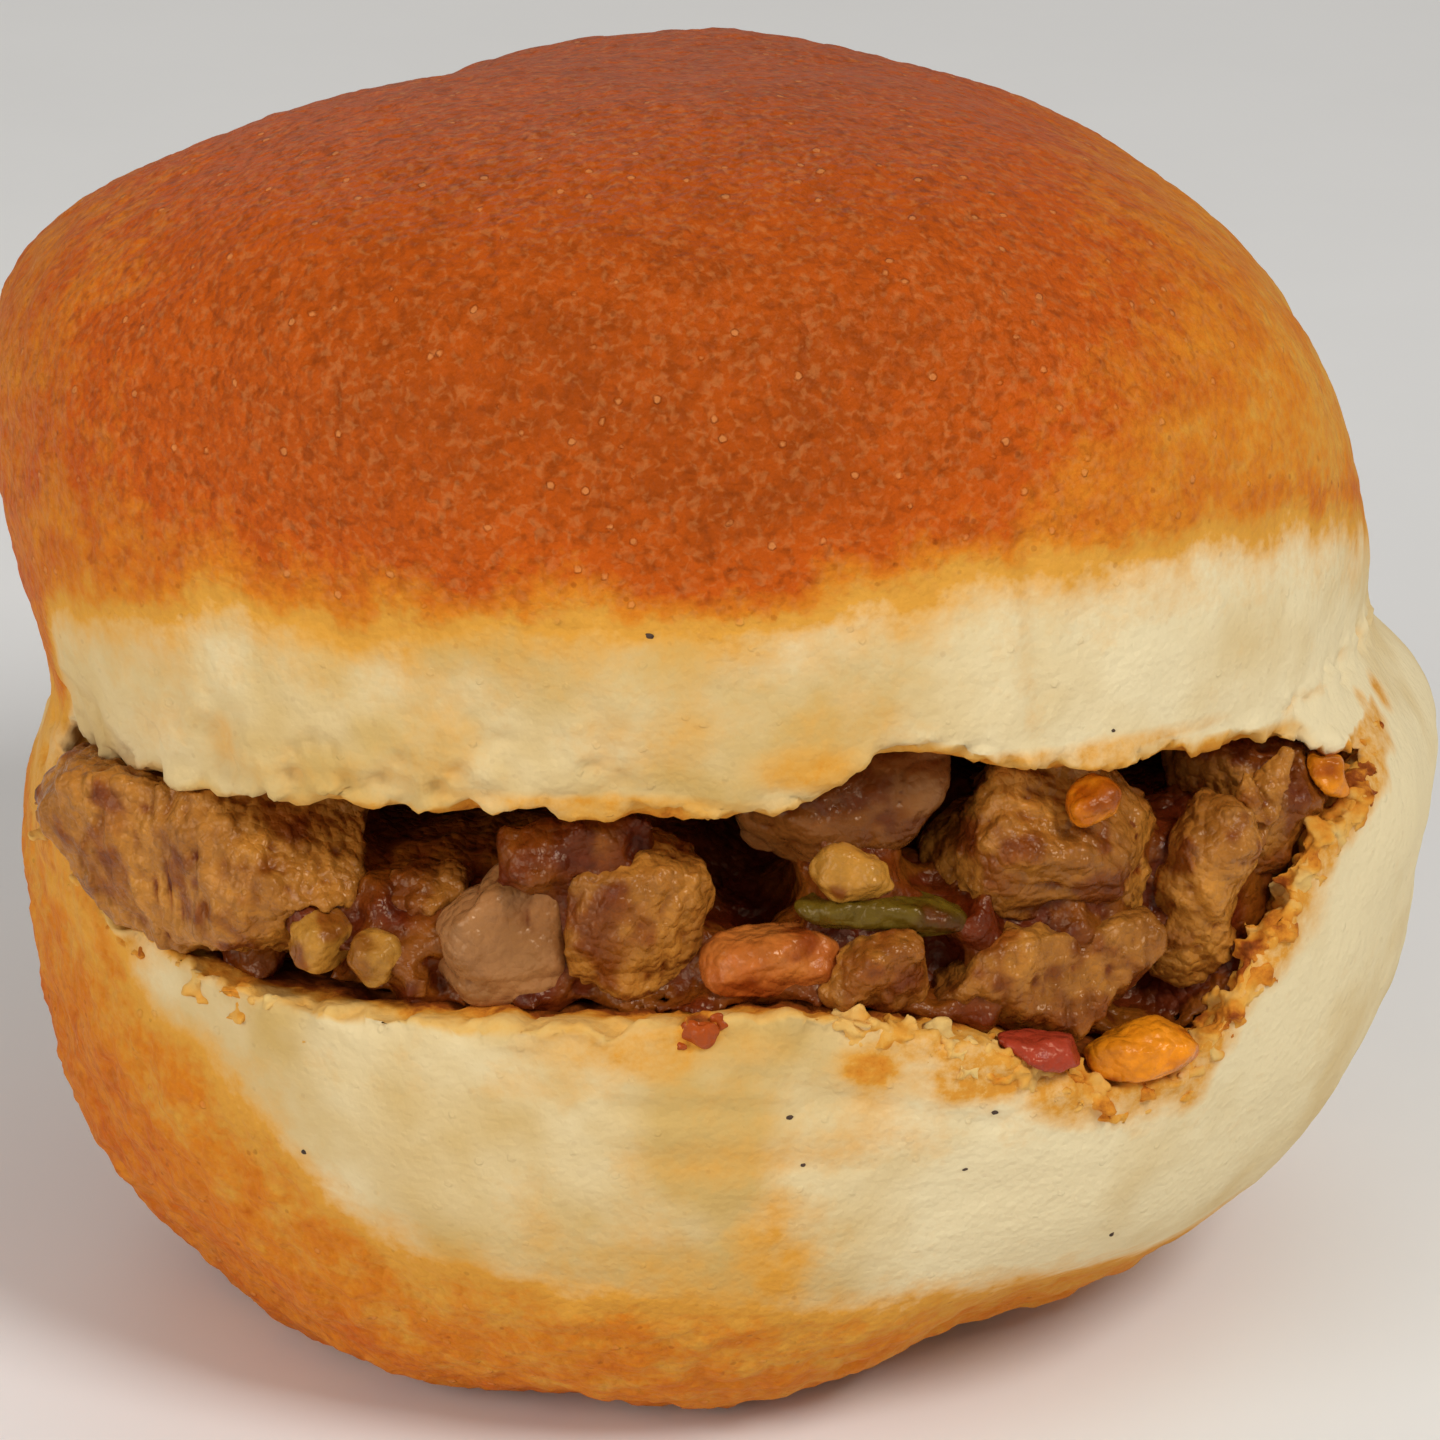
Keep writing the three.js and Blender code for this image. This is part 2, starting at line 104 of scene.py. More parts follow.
# Creases pressed into the outside: from X, Z to X, Z, half width and depth.
CREASES = [
    ((-7.0, 34.4), (8.5, 33.8), 1.0, 0.35), ((21.0, 75.0), (22.2, 63.5), 0.9, 0.4),
    ((-35.3, 60.5), (-35.6, 56.0), 1.3, 0.5), ((-9.0, 65.0), (-8.0, 60.0), 0.8, 0.25),
    ((2.0, 36.5), (20.0, 31.5), 0.9, 0.25), ((-6.0, 30.5), (10.0, 29.0), 1.2, 0.2),
]
# Browned streak down the middle of the lower half, and a darker spot on top: X, Z, half width, half height.
STREAK, TOP_SPOT = (4.0, 20.0, 3.2, 7.5), (2, 79, 10, 5)
# Dark specks of over-fried dough, by X and Z.
SPECKS = [(-4.8, 69.7), (17.5, 27.7), (28.7, 18.5), (4.9, 33.3), (-30.0, 27.0), (27.5, 60.1),
          (19.5, 32.8), (5.9, 29.3)]
# Scraps of tomato on the lower lip: X, Z and width.
TOMATO_SCRAPS = [(-1.4, 40.3, 2.1), (-0.1, 41.0, 1.1), (-2.7, 39.4, 0.8)]

# The chunks of meat, from 0, pale and dry, to 1, dark and cooked through; and how far sauce coats them.
MEAT_TONES = {
    "meat_left": (0.42, 0.35), "meat_centre": (0.35, 0.4), "meat_centre_left": (0.6, 0.65),
    "meat_low_centre": (0.6, 0.6), "meat_right": (0.55, 0.5), "meat_low_right": (0.6, 0.55),
    "meat_upright": (0.25, 0.3), "meat_far_right": (0.5, 0.85),
}
ONION_TONES = {"onion_grey": (0.1, 0.15), "onion_brown": (0.8, 0.4)}
# The diced vegetables: what each is, and how far sauce coats it. All have the same tone.
VEGETABLES = {
    "potato_left": ("potato", 0.6), "potato_left_low": ("potato", 0.55), "potato_centre": ("potato", 0.45),
    "tomato_centre": ("tomato", 0.5), "green_pepper": ("green_pepper", 0.5),
    "red_pepper": ("red_pepper", 0.2), "carrot_top": ("carrot", 0.8), "carrot_front": ("carrot", 0.0),
    "carrot_far_right": ("carrot", 0.3),
}
VEGETABLE_TONE = 0.2
# The vegetables that sauce gathers round.
SAUCED_VEGETABLES = ("potato_left", "potato_left_low", "potato_centre", "tomato_centre", "green_pepper")

TOMATO_SKIN = (0.34, 0.05, 0.004)
SCORCHED, SCORCHED_EDGE = (0.03, 0.014, 0.006), (0.09, 0.04, 0.015)

# Torn strands of meat at the right end: from and to, with their thickness, in the bread's own frame.
STRANDS = [
    ((41.0, -30.0, 54.5), (38.5, -33.5, 47.5), 2.8), ((37.8, -33.0, 53.5), (39.5, -33.0, 49.5), 2.0),
]

# Least and most size of a crumb and of a grain of mince, on the mass and on the slit's floor.
CRUMB_SIZES, GRAIN_SIZES, FLOOR_GRAIN_SIZES = (0.4, 1.1), (1.8, 3.6), (1.8, 3.4)
# A few crumbs are larger, by up to this much.
LARGE_CRUMB = 1.4
SPECK_SIZE = 0.37
# Width of the small pieces' faces, and how much wider the mince's finished faces are than the filling's.
CRUMB_FACE, STRAND_FACE, VEGETABLE_FACE, MINCE_EXTRA_FACE = 0.2, 0.25, 0.2, 0.12
# Loose scraps of less than this volume, in cubic millimetres, are left out.
LEAST_CRUMB, LEAST_MINCE = 0.02, 1
# How far towards its neighbours a free point moves in a round of relaxing, as a share of the way.
RELAX_STEP = 0.6
# What a chunk gets back of what relaxing shrinks it by.
REGROWTH = 0.12

# The stage, in metres: place and width of each light, half the floor's width, and how high the camera looks.
LIGHTS = {
    "key": ((0.45, -0.55, 0.75), 0.32), "fill": ((-0.7, -0.6, 0.35), 0.6), "back": ((-0.15, 0.75, 0.6), 0.5),
}
FLOOR_HALF = 4
TARGET_HEIGHT = 0.0444
SURROUND_COLOR, SURROUND_STRENGTH = (1.0, 0.98, 0.95), 0.34
# Width of the camera's sensor and its focal length, in millimetres.
SENSOR, LENS = 36.0, 145.2


# Noise and number helpers

def smoothstep(low, high, value):
    """0 at low and 1 at high, with a smooth rise between them; low may be the larger."""
    t = np.clip((value - low) / (high - low), 0, 1)
    return t * t * (3 - 2 * t)


def corner_value(cell, seed):
    """A fixed number between -1 and 1 for every cell of a grid."""
    mixed = cell[:, 0] * 73856093 ^ cell[:, 1] * 19349663 ^ cell[:, 2] * 83492791 ^ seed * 2654435761
    mixed = (mixed ^ (mixed >> 13)) * 1274126177 & 0x7FFFFFFF
    mixed = (mixed ^ (mixed >> 16)) * 668265263 & 0x7FFFFFFF
    return mixed / 0x3FFFFFFF - 1


def noise(points, size, seed):
    """Smooth noise between -1 and 1, in lumps of about a size."""
    place = points / size + 31.7 * seed
    cell = np.floor(place).astype(np.int64)
    part = place - cell
    ease = part * part * part * (part * (part * 6 - 15) + 10)
    total = np.zeros(len(points))
    for corner in np.ndindex(2, 2, 2):
        weight = np.prod(np.where(corner, ease, 1 - ease), axis=1)
        total += weight * corner_value(cell + corner, seed)
    return total


def layered_noise(points, size, layers, seed):
    """Noise in layers, each half as large and half as high as the one before."""
    return sum(noise(points, size / 2 ** k, seed + k) / 2 ** k for k in range(layers))


def ridged_noise(points, size, seed):
    """Noise with sharp valleys, as on torn or crumbling food."""
    return 2 * np.sqrt(np.abs(noise(points, size, seed))) - 1


def near_dots(points, size, seed):
    """Distance to the nearest of many scattered dots, 0 at a dot and 1 at a spacing away."""
    place = points / size
    cell = np.floor(place).astype(np.int64)
    nearest = np.full(len(points), 9.0)
    for offset in np.ndindex(3, 3, 3):
        other = cell + offset - 1
        dot = other + 0.5 + 0.5 * np.stack([corner_value(other, seed + axis) for axis in range(3)], axis=1)
        nearest = np.minimum(nearest, ((place - dot) ** 2).sum(axis=1))
    return np.sqrt(nearest)


def spot(points, x, z, wide, tall):
    """1 at a place on the front given by X and Z, falling off over its half width and half height."""
    away = ((points[:, 0] - x) / wide) ** 2 + ((points[:, 2] - z) / tall) ** 2
    return np.exp(-away) * (points[:, 1] < 0)


# Mesh helpers

def link(name, data):
    """A new object in the scene, around a mesh, a light or a camera."""
    made = bpy.data.objects.new(name, data)
    bpy.context.scene.collection.objects.link(made)
    return made


def voxel_remesh(piece, size):
    """Makes the surface anew with even faces of a width in millimetres."""
    modifier = piece.modifiers.new("Even faces", "REMESH")
    modifier.mode = "VOXEL"
    modifier.voxel_size = size * MM
    modifier.use_smooth_shade = True
    evaluated = piece.evaluated_get(bpy.context.evaluated_depsgraph_get())
    made = bpy.data.meshes.new_from_object(evaluated)
    piece.modifiers.clear()
    old, piece.data = piece.data, made
    bpy.data.meshes.remove(old)


def read(items, name, width, kind=float):
    """One property of all of a mesh's vertices or edges: an array with a row for each."""
    values = np.empty(width * len(items), dtype=kind)
    items.foreach_get(name, values)
    return values.reshape(-1, width)


def get_points(mesh):
    return read(mesh.vertices, "co", 3) / MM


def get_normals(mesh):
    return read(mesh.vertex_normals, "vector", 3)


def set_points(mesh, points):
    mesh.vertices.foreach_set("co", (points * MM).ravel())
    mesh.update()


def set_mask(mesh, name, values):
    attribute = mesh.attributes.new(name, "FLOAT", "POINT")
    attribute.data.foreach_set("value", np.clip(np.broadcast_to(values, len(mesh.vertices)), 0, 1))


def get_mask(mesh, name):
    return read(mesh.attributes[name].data, "value", 1)[:, 0]


def relaxed(mesh, rounds, freedom=1.0):
    """The mesh's points, each moved towards the middle of its neighbours as far as its freedom allows."""
    points = get_points(mesh)
    size = len(points)
    edges = read(mesh.edges, "vertices", 2, np.int32)
    start, end = edges.T
    count = np.bincount(edges.ravel(), minlength=size)[:, None]
    share = RELAX_STEP * np.broadcast_to(freedom, size)[:, None]
    for _ in range(rounds):
        total = np.stack([
            np.bincount(start, points[end, axis], size) + np.bincount(end, points[start, axis], size)
            for axis in range(3)], axis=1)
        points += (total / count - points) * share
    return points


def hollows(mesh, rounds):
    """How deep each point lies below the smoothed surface, in millimetres; less than 0 on a rise."""
    return ((relaxed(mesh, rounds) - get_points(mesh)) * get_normals(mesh)).sum(axis=1)


def drop_scraps(mesh, least):
    """Deletes the pockets closed off inside a mesh, and loose scraps of less than some cubic millimetres."""
    solid = bmesh.new()
    solid.from_mesh(mesh)
    left, dropped = set(solid.faces), []
    while left:
        shell = [left.pop()]
        for face in shell:
            near = {other for edge in face.edges for other in edge.link_faces} & left
            left -= near
            shell += near
        volume = sum(face.calc_center_median().dot(face.normal) * face.calc_area() for face in shell) / 3
        if volume < least * MM ** 3:
            dropped += {vertex for face in shell for vertex in face.verts}
    bmesh.ops.delete(solid, geom=dropped, context="VERTS")
    solid.to_mesh(mesh)
    solid.free()


def distance_to_sharp_edges(mesh, points, angle):
    """How far each point is from the edges of a mesh whose two faces meet at more than an angle."""
    solid = bmesh.new()
    solid.from_mesh(mesh)
    bmesh.ops.remove_doubles(solid, verts=solid.verts, dist=0.001 * MM)
    marks = []
    for edge in solid.edges:
        if len(edge.link_faces) == 2 and edge.calc_face_angle() > math.radians(angle):
            first, last = (vertex.co / MM for vertex in edge.verts)
            steps = int((last - first).length) + 1
            marks += [first.lerp(last, k / steps) for k in range(steps + 1)]
    solid.free()
    tree = kdtree.KDTree(len(marks))
    for index, mark in enumerate(marks):
        tree.insert(mark, index)
    tree.balance()
    return np.array([tree.find(Vector(point))[2] for point in points])


def copy_node(name, piece_name):
    return link(piece_name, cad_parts[name].data.copy())


def joined_piece(name, shapes):
    """One piece out of many (points in millimetres, faces) pairs."""
    points, faces, start = [], [], 0
    for shape, sides in shapes:
        points.append(shape)
        faces += [[start + index for index in side] for side in sides]
        start += len(shape)
    mesh = bpy.data.meshes.new(name)
    mesh.from_pydata((np.concatenate(points) * MM).tolist(), [], faces)
    mesh.update()
    return link(name, mesh)


def lump_mesh(random, size, detail=2, unevenness=0.8):
    """A small ball of food pushed out of round and turned at random: its points and faces."""
    ball = bmesh.new()
    bmesh.ops.create_icosphere(ball, subdivisions=detail, radius=0.5)
    shape = np.array([vertex.co for vertex in ball.verts])
    faces = [[vertex.index for vertex in face.verts] for face in ball.faces]
    ball.free()
    shape *= 1 + unevenness * noise(shape, 0.4, int(random.integers(1, 900)))[:, None]
    turn = np.array(Euler(random.uniform(0, 2 * math.pi, 3)).to_matrix())
    return shape * size * random.uniform(0.7, 1.3, 3) @ turn.T, faces


def finish_piece(piece, material, slot, *nodes):
    """Gives a piece its material, puts it in the root body, and hides the solids that it replaces. Its slot
    is not used.
    """
    piece.data.materials.clear()
    piece.data.materials.append(material)
    piece.data.polygons.foreach_set("use_smooth", np.ones(len(piece.data.polygons), dtype=bool))
    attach(piece, "root")
    if nodes:
        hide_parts(*nodes)


# Material helpers

class NodeTree:
    """Adds nodes to a tree, taking inputs as plain values or as the sockets that feed them."""

    def __init__(self, tree):
        self.tree = tree

    @cached_property
    def place(self):
        """The object's own coordinates, which all textures follow."""
        return self.add("TexCoord").outputs["Object"]

    def plug(self, node, inputs):
        """Links or sets a node's inputs. Plain colours have no alpha."""
        for name, value in inputs.items():
            socket = node.inputs[name]
            if isinstance(value, bpy.types.NodeSocket):
                self.tree.links.new(value, socket)
            elif socket.type == "RGBA":
                socket.default_value = (*value, 1.0)
            else:
                socket.default_value = value

    def add(self, kind, inputs=None, **settings):
        node = self.tree.nodes.new("ShaderNode" + kind)
        for name, value in settings.items():
            setattr(node, name, value)
        self.plug(node, inputs or {})
        return node

    def mix(self, amount, first, second, blend="MIX"):
        """A mix of colours. Its sockets go by number, because sockets of other kinds share their names."""
        inputs = {0: amount, 6: first, 7: second}
        return self.add("Mix", inputs, data_type="RGBA", blend_type=blend).outputs[2]

    def math(self, operation, first, second, third=0.0, clamp=False):
        node = self.add("Math", {0: first, 1: second, 2: third}, operation=operation, use_clamp=clamp)
        return node.outputs[0]

    def times(self, first, second):
        return self.math("MULTIPLY", first, second)

    def remap(self, value, low, high, to_low=0.0, to_high=1.0):
        inputs = {"Value": value, "From Min": low, "From Max": high, "To Min": to_low, "To Max": to_high}
        return self.add("MapRange", inputs, clamp=True).outputs[0]

    def mask(self, name):
        return self.add("Attribute", attribute_name=name).outputs["Fac"]

    def cloud(self, scale, detail, roughness=0.5, distortion=0.0):
        inputs = {"Vector": self.place, "Scale": scale, "Detail": detail, "Roughness": roughness,
                  "Distortion": distortion}
        return self.add("TexNoise", inputs).outputs[0]

    def to_nearest_dot(self, scale):
        return self.add("TexVoronoi", {"Vector": self.place, "Scale": scale}).outputs["Distance"]

    def uneven(self, value, cloud, share):
        """A value between 0 and 1 that a cloud makes higher and lower by a share of itself."""
        swing = self.remap(cloud, 0.3, 0.7, -share, share)
        return self.math("MULTIPLY_ADD", swing, value, value, clamp=True)

    def ramp(self, value, stops):
        node = self.add("ValToRGB", {"Fac": value})
        elements = node.color_ramp.elements
        while len(elements) < len(stops):
            elements.new(0.5)
        for element, (position, color) in zip(elements, stops):
            element.position = position
            element.color = (*color, 1.0)
        return node.outputs["Color"]


def shared(nodes, name, build, output, inputs):
    """One output of a node group that the materials share, which is built when it is first used.

    A socket is a colour if its name says so, or else a number.
    """
    tree = bpy.data.node_groups.get(name)
    if tree is None:
        tree = bpy.data.node_groups.new(name, "ShaderNodeTree")
        for direction, sockets in (("INPUT", inputs), ("OUTPUT", [output])):
            for socket in sockets:
                kind = "NodeSocketColor" if "Color" in socket else "NodeSocketFloat"
                tree.interface.new_socket(socket, in_out=direction, socket_type=kind)
        inner = NodeTree(tree)
        made = build(inner, tree.nodes.new("NodeGroupInput").outputs)
        inner.plug(tree.nodes.new("NodeGroupOutput"), {output: made})
    return nodes.add("Group", inputs, node_tree=tree).outputs[output]


def mottled(nodes, color, other, scale, amount):
    """Uneven tone: cloudy patches of a second colour over the first."""
    def build(inner, given):
        patch = inner.remap(inner.cloud(given["Scale"], 4.0, 0.62), 0.38, 0.64)
        return inner.mix(inner.times(patch, given["Amount"]), given["Color"], given["Other Color"])

    inputs = {"Color": color, "Other Color": other, "Scale": scale, "Amount": amount}
    return shared(nodes, "Uneven tone", build, "Color", inputs)


def fine_relief(nodes, lump_scale, grain_scale, grain_share):
    """Fine surface height: soft lumps, and rounded grains a few times smaller."""
    def build(inner, given):
        rounded = inner.math("SUBTRACT", 1.0, inner.to_nearest_dot(given["Grain Scale"]))
        lumps = inner.cloud(given["Lump Scale"], 3.0)
        return inner.math("MULTIPLY_ADD", rounded, given["Grain Share"], lumps)

    inputs = {"Lump Scale": lump_scale, "Grain Scale": grain_scale, "Grain Share": grain_share}
    return shared(nodes, "Fine relief", build, "Height", inputs)


def sparse_dots(nodes, scale, size):
    """Small sparse dots, 1 at each dot: used for dark pores, for pale dots of painted highlight on blisters,
    and for beads of oil.
    """
    def build(inner, given):
        wobble, cells = inner.cloud(2500.0, 2.0), inner.to_nearest_dot(given["Scale"])
        away = inner.math("MULTIPLY_ADD", wobble, given["Dot Size"], cells)
        share = inner.math("DIVIDE", away, inner.times(given["Dot Size"], 1.5))
        return inner.remap(share, 0.75, 1.0, 1.0, 0.0)

    return shared(nodes, "Sparse dots", build, "Mask", {"Scale": scale, "Dot Size": size})


def soft_marks(nodes, scale):
    """Soft uneven marks, 1 on a mark."""
    return nodes.remap(nodes.cloud(scale, 2.0, distortion=0.5), 0.5, 0.68)


def new_material(name):
    material = bpy.data.materials.new(name)
    material.use_nodes = True
    shader = material.node_tree.nodes["Principled BSDF"]
    return material, NodeTree(material.node_tree), shader


def bumped(nodes, height, depth):
    """The normal over a relief of some depth in millimetres."""
    bump = nodes.add("Bump", {"Height": height, "Strength": 1.0, "Distance": depth * MM})
    return bump.outputs["Normal"]


def shaded(color, factor):
    """A colour made lighter or darker."""
    return [min(1.0, part * factor) for part in color]


def browned_color(nodes, look):
    """From the pale side through gold and amber to the deep crust, flecked by dark marks, lighter blister
    marks, pale dots of painted highlight on the blisters, and dark pores.
    """
    crust = nodes.mask("crust")
    fine = nodes.remap(nodes.cloud(1100.0, 3.0, 0.6), 0.3, 0.7, -0.06, 0.06)
    patchy = nodes.remap(nodes.cloud(240.0, 3.0), 0.35, 0.65, -0.07, 0.07)
    swing = nodes.remap(crust, 0.0, 0.4, 0.3, 1.0)
    tone = nodes.math("MULTIPLY_ADD", nodes.math("ADD", fine, patchy), swing, crust, clamp=True)
    side = nodes.mix(nodes.mask("cream"), look.pale_color, look.cream_color)
    browned = nodes.ramp(tone, [
        (0.14, shaded(look.golden_color, 1.08)), (0.28, shaded(look.golden_color, 0.95)),
        (0.4, look.amber_color), (0.64, shaded(look.crust_color, 1.2)),
        (0.85, look.crust_color), (1.0, shaded(look.crust_color, 0.75))])
    browned = nodes.mix(nodes.remap(tone, 0.02, 0.22), side, browned)
    crusty = nodes.remap(crust, 0.15, 0.5)
    charred, pitted = nodes.remap(crust, 0.3, 0.75, 0.0, 0.6), nodes.remap(crust, 0.0, 0.6, 0.08, 0.45)
    for marks, strength, color in (
            (soft_marks(nodes, 950.0), charred, shaded(look.crust_color, 0.55)),
            (soft_marks(nodes, 1400.0), nodes.times(crusty, 0.3), shaded(look.blister_and_highlight_color, 0.8)),
            # Pale dots: painted highlights of the tiny blisters.
            (sparse_dots(nodes, 400.0, 0.12), nodes.times(crusty, 0.5), look.blister_and_highlight_color),
            (sparse_dots(nodes, 430.0, 0.11), pitted, shaded(look.crust_color, 0.45))):
        browned = nodes.mix(nodes.times(marks, strength), browned, color)
    return browned


def bread_color(nodes, look):
    """Base colour of the bread from its own masks: browning with painted highlights on its blisters, torn
    crumb, and sauce soaked in, with one mark of painted shade in a dent.
    """
    crumb = mottled(nodes, look.crumb_color, look.golden_color, 420.0, 0.4)
    body = nodes.mix(nodes.mask("cut"), browned_color(nodes, look), crumb)
    stain = nodes.uneven(nodes.mask("stain"), nodes.cloud(700.0, 5.0, 0.7), 0.35)
    soaked = nodes.ramp(stain, [
        (0.0, shaded(look.golden_color, 1.15)), (0.3, look.golden_color), (0.48, look.oil_color),
        (0.7, look.soaked_color), (0.88, shaded(look.soaked_color, 0.6)),
        (1.0, shaded(look.soaked_color, 0.4))])
    return nodes.mix(nodes.remap(stain, 0.04, 0.34), body, soaked)


def bread_material(look):
    """Fried crust with painted highlights on its blisters, pale side, torn crumb, and sauce stains with one
    mark of painted shade in a dent, told apart by the bread's own masks.
    """
    material, nodes, shader = new_material("Fried bread")
    crust = nodes.mask("crust")
    relief = fine_relief(nodes, 850.0, 1500.0, 0.35)
    height = nodes.math("MULTIPLY_ADD", sparse_dots(nodes, 400.0, 0.14), 0.25, relief)
    height = nodes.times(height, nodes.remap(crust, 0.1, 0.6, 0.4, 1.0))
    rough = nodes.remap(crust, 0.2, 0.7, 0.8, 0.5)
    oily = nodes.remap(nodes.mask("stain"), 0.2, 0.8)
    nodes.plug(shader, {
        "Base Color": bread_color(nodes, look), "Roughness": nodes.math("MULTIPLY_ADD", oily, -0.25, rough),
        "Normal": bumped(nodes, height, 0.45), "Specular IOR Level": 0.15, "Specular Tint": (1.0, 0.6, 0.35),
    })
    return material


def filling_material(name, flesh, dark_flesh, look, scale, least_roughness, depth=0.3):
    """Cooked flesh under a glossy sauce that gathers in its hollows. Tone leads from flesh to dark flesh."""
    material, nodes, shader = new_material(name)
    base = nodes.mix(nodes.mask("tone"), flesh, dark_flesh)
    paler = nodes.mix(1.0, base, (1.35, 1.35, 1.5), "MULTIPLY")
    deeper = nodes.mix(1.0, base, (0.6, 0.48, 0.4), "MULTIPLY")
    toned = mottled(nodes, mottled(nodes, base, deeper, scale, 0.5), paler, 2.3 * scale, 0.5)
    toned = nodes.mix(nodes.mask("fibre"), toned, deeper)
    film = nodes.cloud(240.0, 4.0)
    pooled = nodes.uneven(nodes.mask("sauce"), film, 0.6)
    coated = nodes.mix(1.0, toned, (0.55, 0.36, 0.25), "MULTIPLY")
    color = nodes.mix(nodes.remap(pooled, 0.0, 0.6), toned, coated)
    color = nodes.mix(nodes.remap(pooled, 0.6, 1.0), color, look.sauce_color)
    beads = sparse_dots(nodes, 420.0, 0.13)
    height = nodes.math("MULTIPLY_ADD", beads, 0.12, fine_relief(nodes, 700.0, 1300.0, 0.55))
    rough = nodes.remap(film, 0.3, 0.7, least_roughness, least_roughness + 0.2)
    nodes.plug(shader, {
        "Base Color": color, "Roughness": nodes.math("MULTIPLY_ADD", beads, -0.15, rough),
        "Normal": bumped(nodes, height, depth), "Specular IOR Level": 0.34, "Specular Tint": (1.0, 0.75, 0.5),
        "Coat Weight": 0.05, "Coat Roughness": 0.1,
    })
    return material


# Settings

def color_setting(name, description, default):
    return FloatVectorProperty(
        name=name, description=description, default=default, subtype="COLOR", size=3, min=0, max=1)


def size_setting(name, description, default):
    return FloatProperty(name=name, description=f"{description}, in millimetres", default=default)


def power_setting(name, description, default):
    return FloatProperty(name=name, description=description, default=default, unit="POWER")


class VetkoekBread(PropertyGroup):
    face_size: size_setting("Face size", "Width of the bread's faces", 0.55)
    blister_height: size_setting("Blister height", "Height of the crust's small blisters", 0.16)
    lip_raggedness: size_setting("Lip raggedness", "How far the torn lips wander", 0.6)
    crumb_count: IntProperty(name="Crumbs", description="Loose crumbs along the torn lips", default=1300)
    crust_color: color_setting("Crust", "Deepest browning of the upper half", (0.42, 0.068, 0.0035))
    # Lighter blister marks on the crust, and the pale dots painted as the blisters' highlights.
    blister_and_highlight_color: color_setting("Blisters", "Light flecks of the crust", (0.72, 0.28, 0.08))
    amber_color: color_setting("Amber", "Crust where it lightens", (0.64, 0.205, 0.014))
    golden_color: color_setting("Golden", "Seam between the crust and the pale side", (0.69, 0.32, 0.044))
    pale_color: color_setting("Pale side", "Side that the oil hardly browned", (0.59, 0.385, 0.128))
    cream_color: color_setting("Cream", "Whitest parts of the pale side", (0.80, 0.665, 0.40))
    crumb_color: color_setting("Crumb", "Torn inside of the bread", (0.70, 0.475, 0.165))
    oil_color: color_setting("Oil stain", "Bread touched by spiced oil", (0.62, 0.22, 0.02))
    soaked_color: color_setting("Soaked bread", "Bread full of sauce", (0.30, 0.065, 0.008))


class VetkoekFilling(PropertyGroup):
    face_size: size_setting("Face size", "Width of the filling's faces", 0.33)
    grain_count: IntProperty(name="Grains", description="Small crumbs of mince on the mass", default=380)
    sauce_spread: size_setting("Sauce spread", "Half the width of the nooks that sauce fills", 0.8)
    sauce_sink: size_setting("Sauce sink", "How far the sauce lies under the face of the chunks", 0.68)
    sauce_color: color_setting("Sauce", "Sauce where it gathers", (0.12, 0.016, 0.002))
    meat_color: color_setting("Pale meat", "Cooked meat with little sauce", (0.48, 0.192, 0.025))
    dark_meat_color: color_setting("Dark meat", "Cooked meat well covered with sauce", (0.245, 0.08, 0.010))
    mince_color: color_setting("Mince", "Small crumbs of mince", (0.21, 0.056, 0.004))
    onion_color: color_setting("Onion", "Soft cooked onion", (0.33, 0.145, 0.045))
    dark_onion_color: color_setting("Dark onion", "Onion stained by the sauce", (0.19, 0.06, 0.009))
    potato_color: color_setting("Potato", "Cooked potato", (0.48, 0.215, 0.028))
    tomato_color: color_setting("Tomato", "Cooked tomato", (0.52, 0.165, 0.026))
    carrot_color: color_setting("Carrot", "Cooked carrot", (0.78, 0.25, 0.008))
    red_pepper_color: color_setting("Red pepper", "Cooked red pepper", (0.35, 0.038, 0.014))
    green_pepper_color: color_setting("Green pepper", "Cooked green pepper", (0.12, 0.072, 0.005))


class VetkoekStage(PropertyGroup):
    floor_color: color_setting("Floor", "Plain pale floor", (0.86, 0.85, 0.83))
    key_power: power_setting("Key light", "Power of the main light", 5.3)
    fill_power: power_setting("Fill light", "Power of the soft light opposite", 3.7)
    back_power: power_setting("Back light", "Power of the light behind", 0.6)
    camera_height: FloatProperty(
        name="Camera angle", description="Angle of the camera above the horizon", default=math.radians(22),
        subtype="ANGLE")
    camera_distance: FloatProperty(
        name="Camera distance", description="From the camera to the bun", default=0.45, unit="LENGTH")


# Bread

def above_seam(points):
    """Height over the lifted seam between the two halves, in millimetres, and less than 0 below it."""
    return points[:, 2] - HINGE_Z - (HINGE_Y - points[:, 1]) * LIFT_SLOPE


def on_lower_half(points):
    return above_seam(points) < LOWER_HALF_TOP


def inside_rim(points):
    """1 at the middle of the bread's plan, 0 at its rim, less outside."""
    across, deep = (np.abs(points[:, axis] / RIM_HALVES[axis]) ** RIM_POWER for axis in (0, 1))
    return 1 - across - deep


def look_up(table, value):
    """A table's value, blended between its entries."""
    return np.interp(value, list(table), list(table.values()))


def around(points, table):
    """A table's value at each point's azimuth from +X, in degrees."""
    return look_up(table, np.degrees(np.arctan2(points[:, 1], points[:, 0])) % 360)


def lip_drop(x):
    """How far the upper lip hangs below the lifted seam: low at the left, and again at the right end."""
    dip = 3.4 - 4.6 * smoothstep(4, 12, x) - 0.8 * np.exp(-((x - 14) / 4) ** 2)
    return dip + 1.4 * smoothstep(15, 20, x) + 4 * smoothstep(41, 46, x)


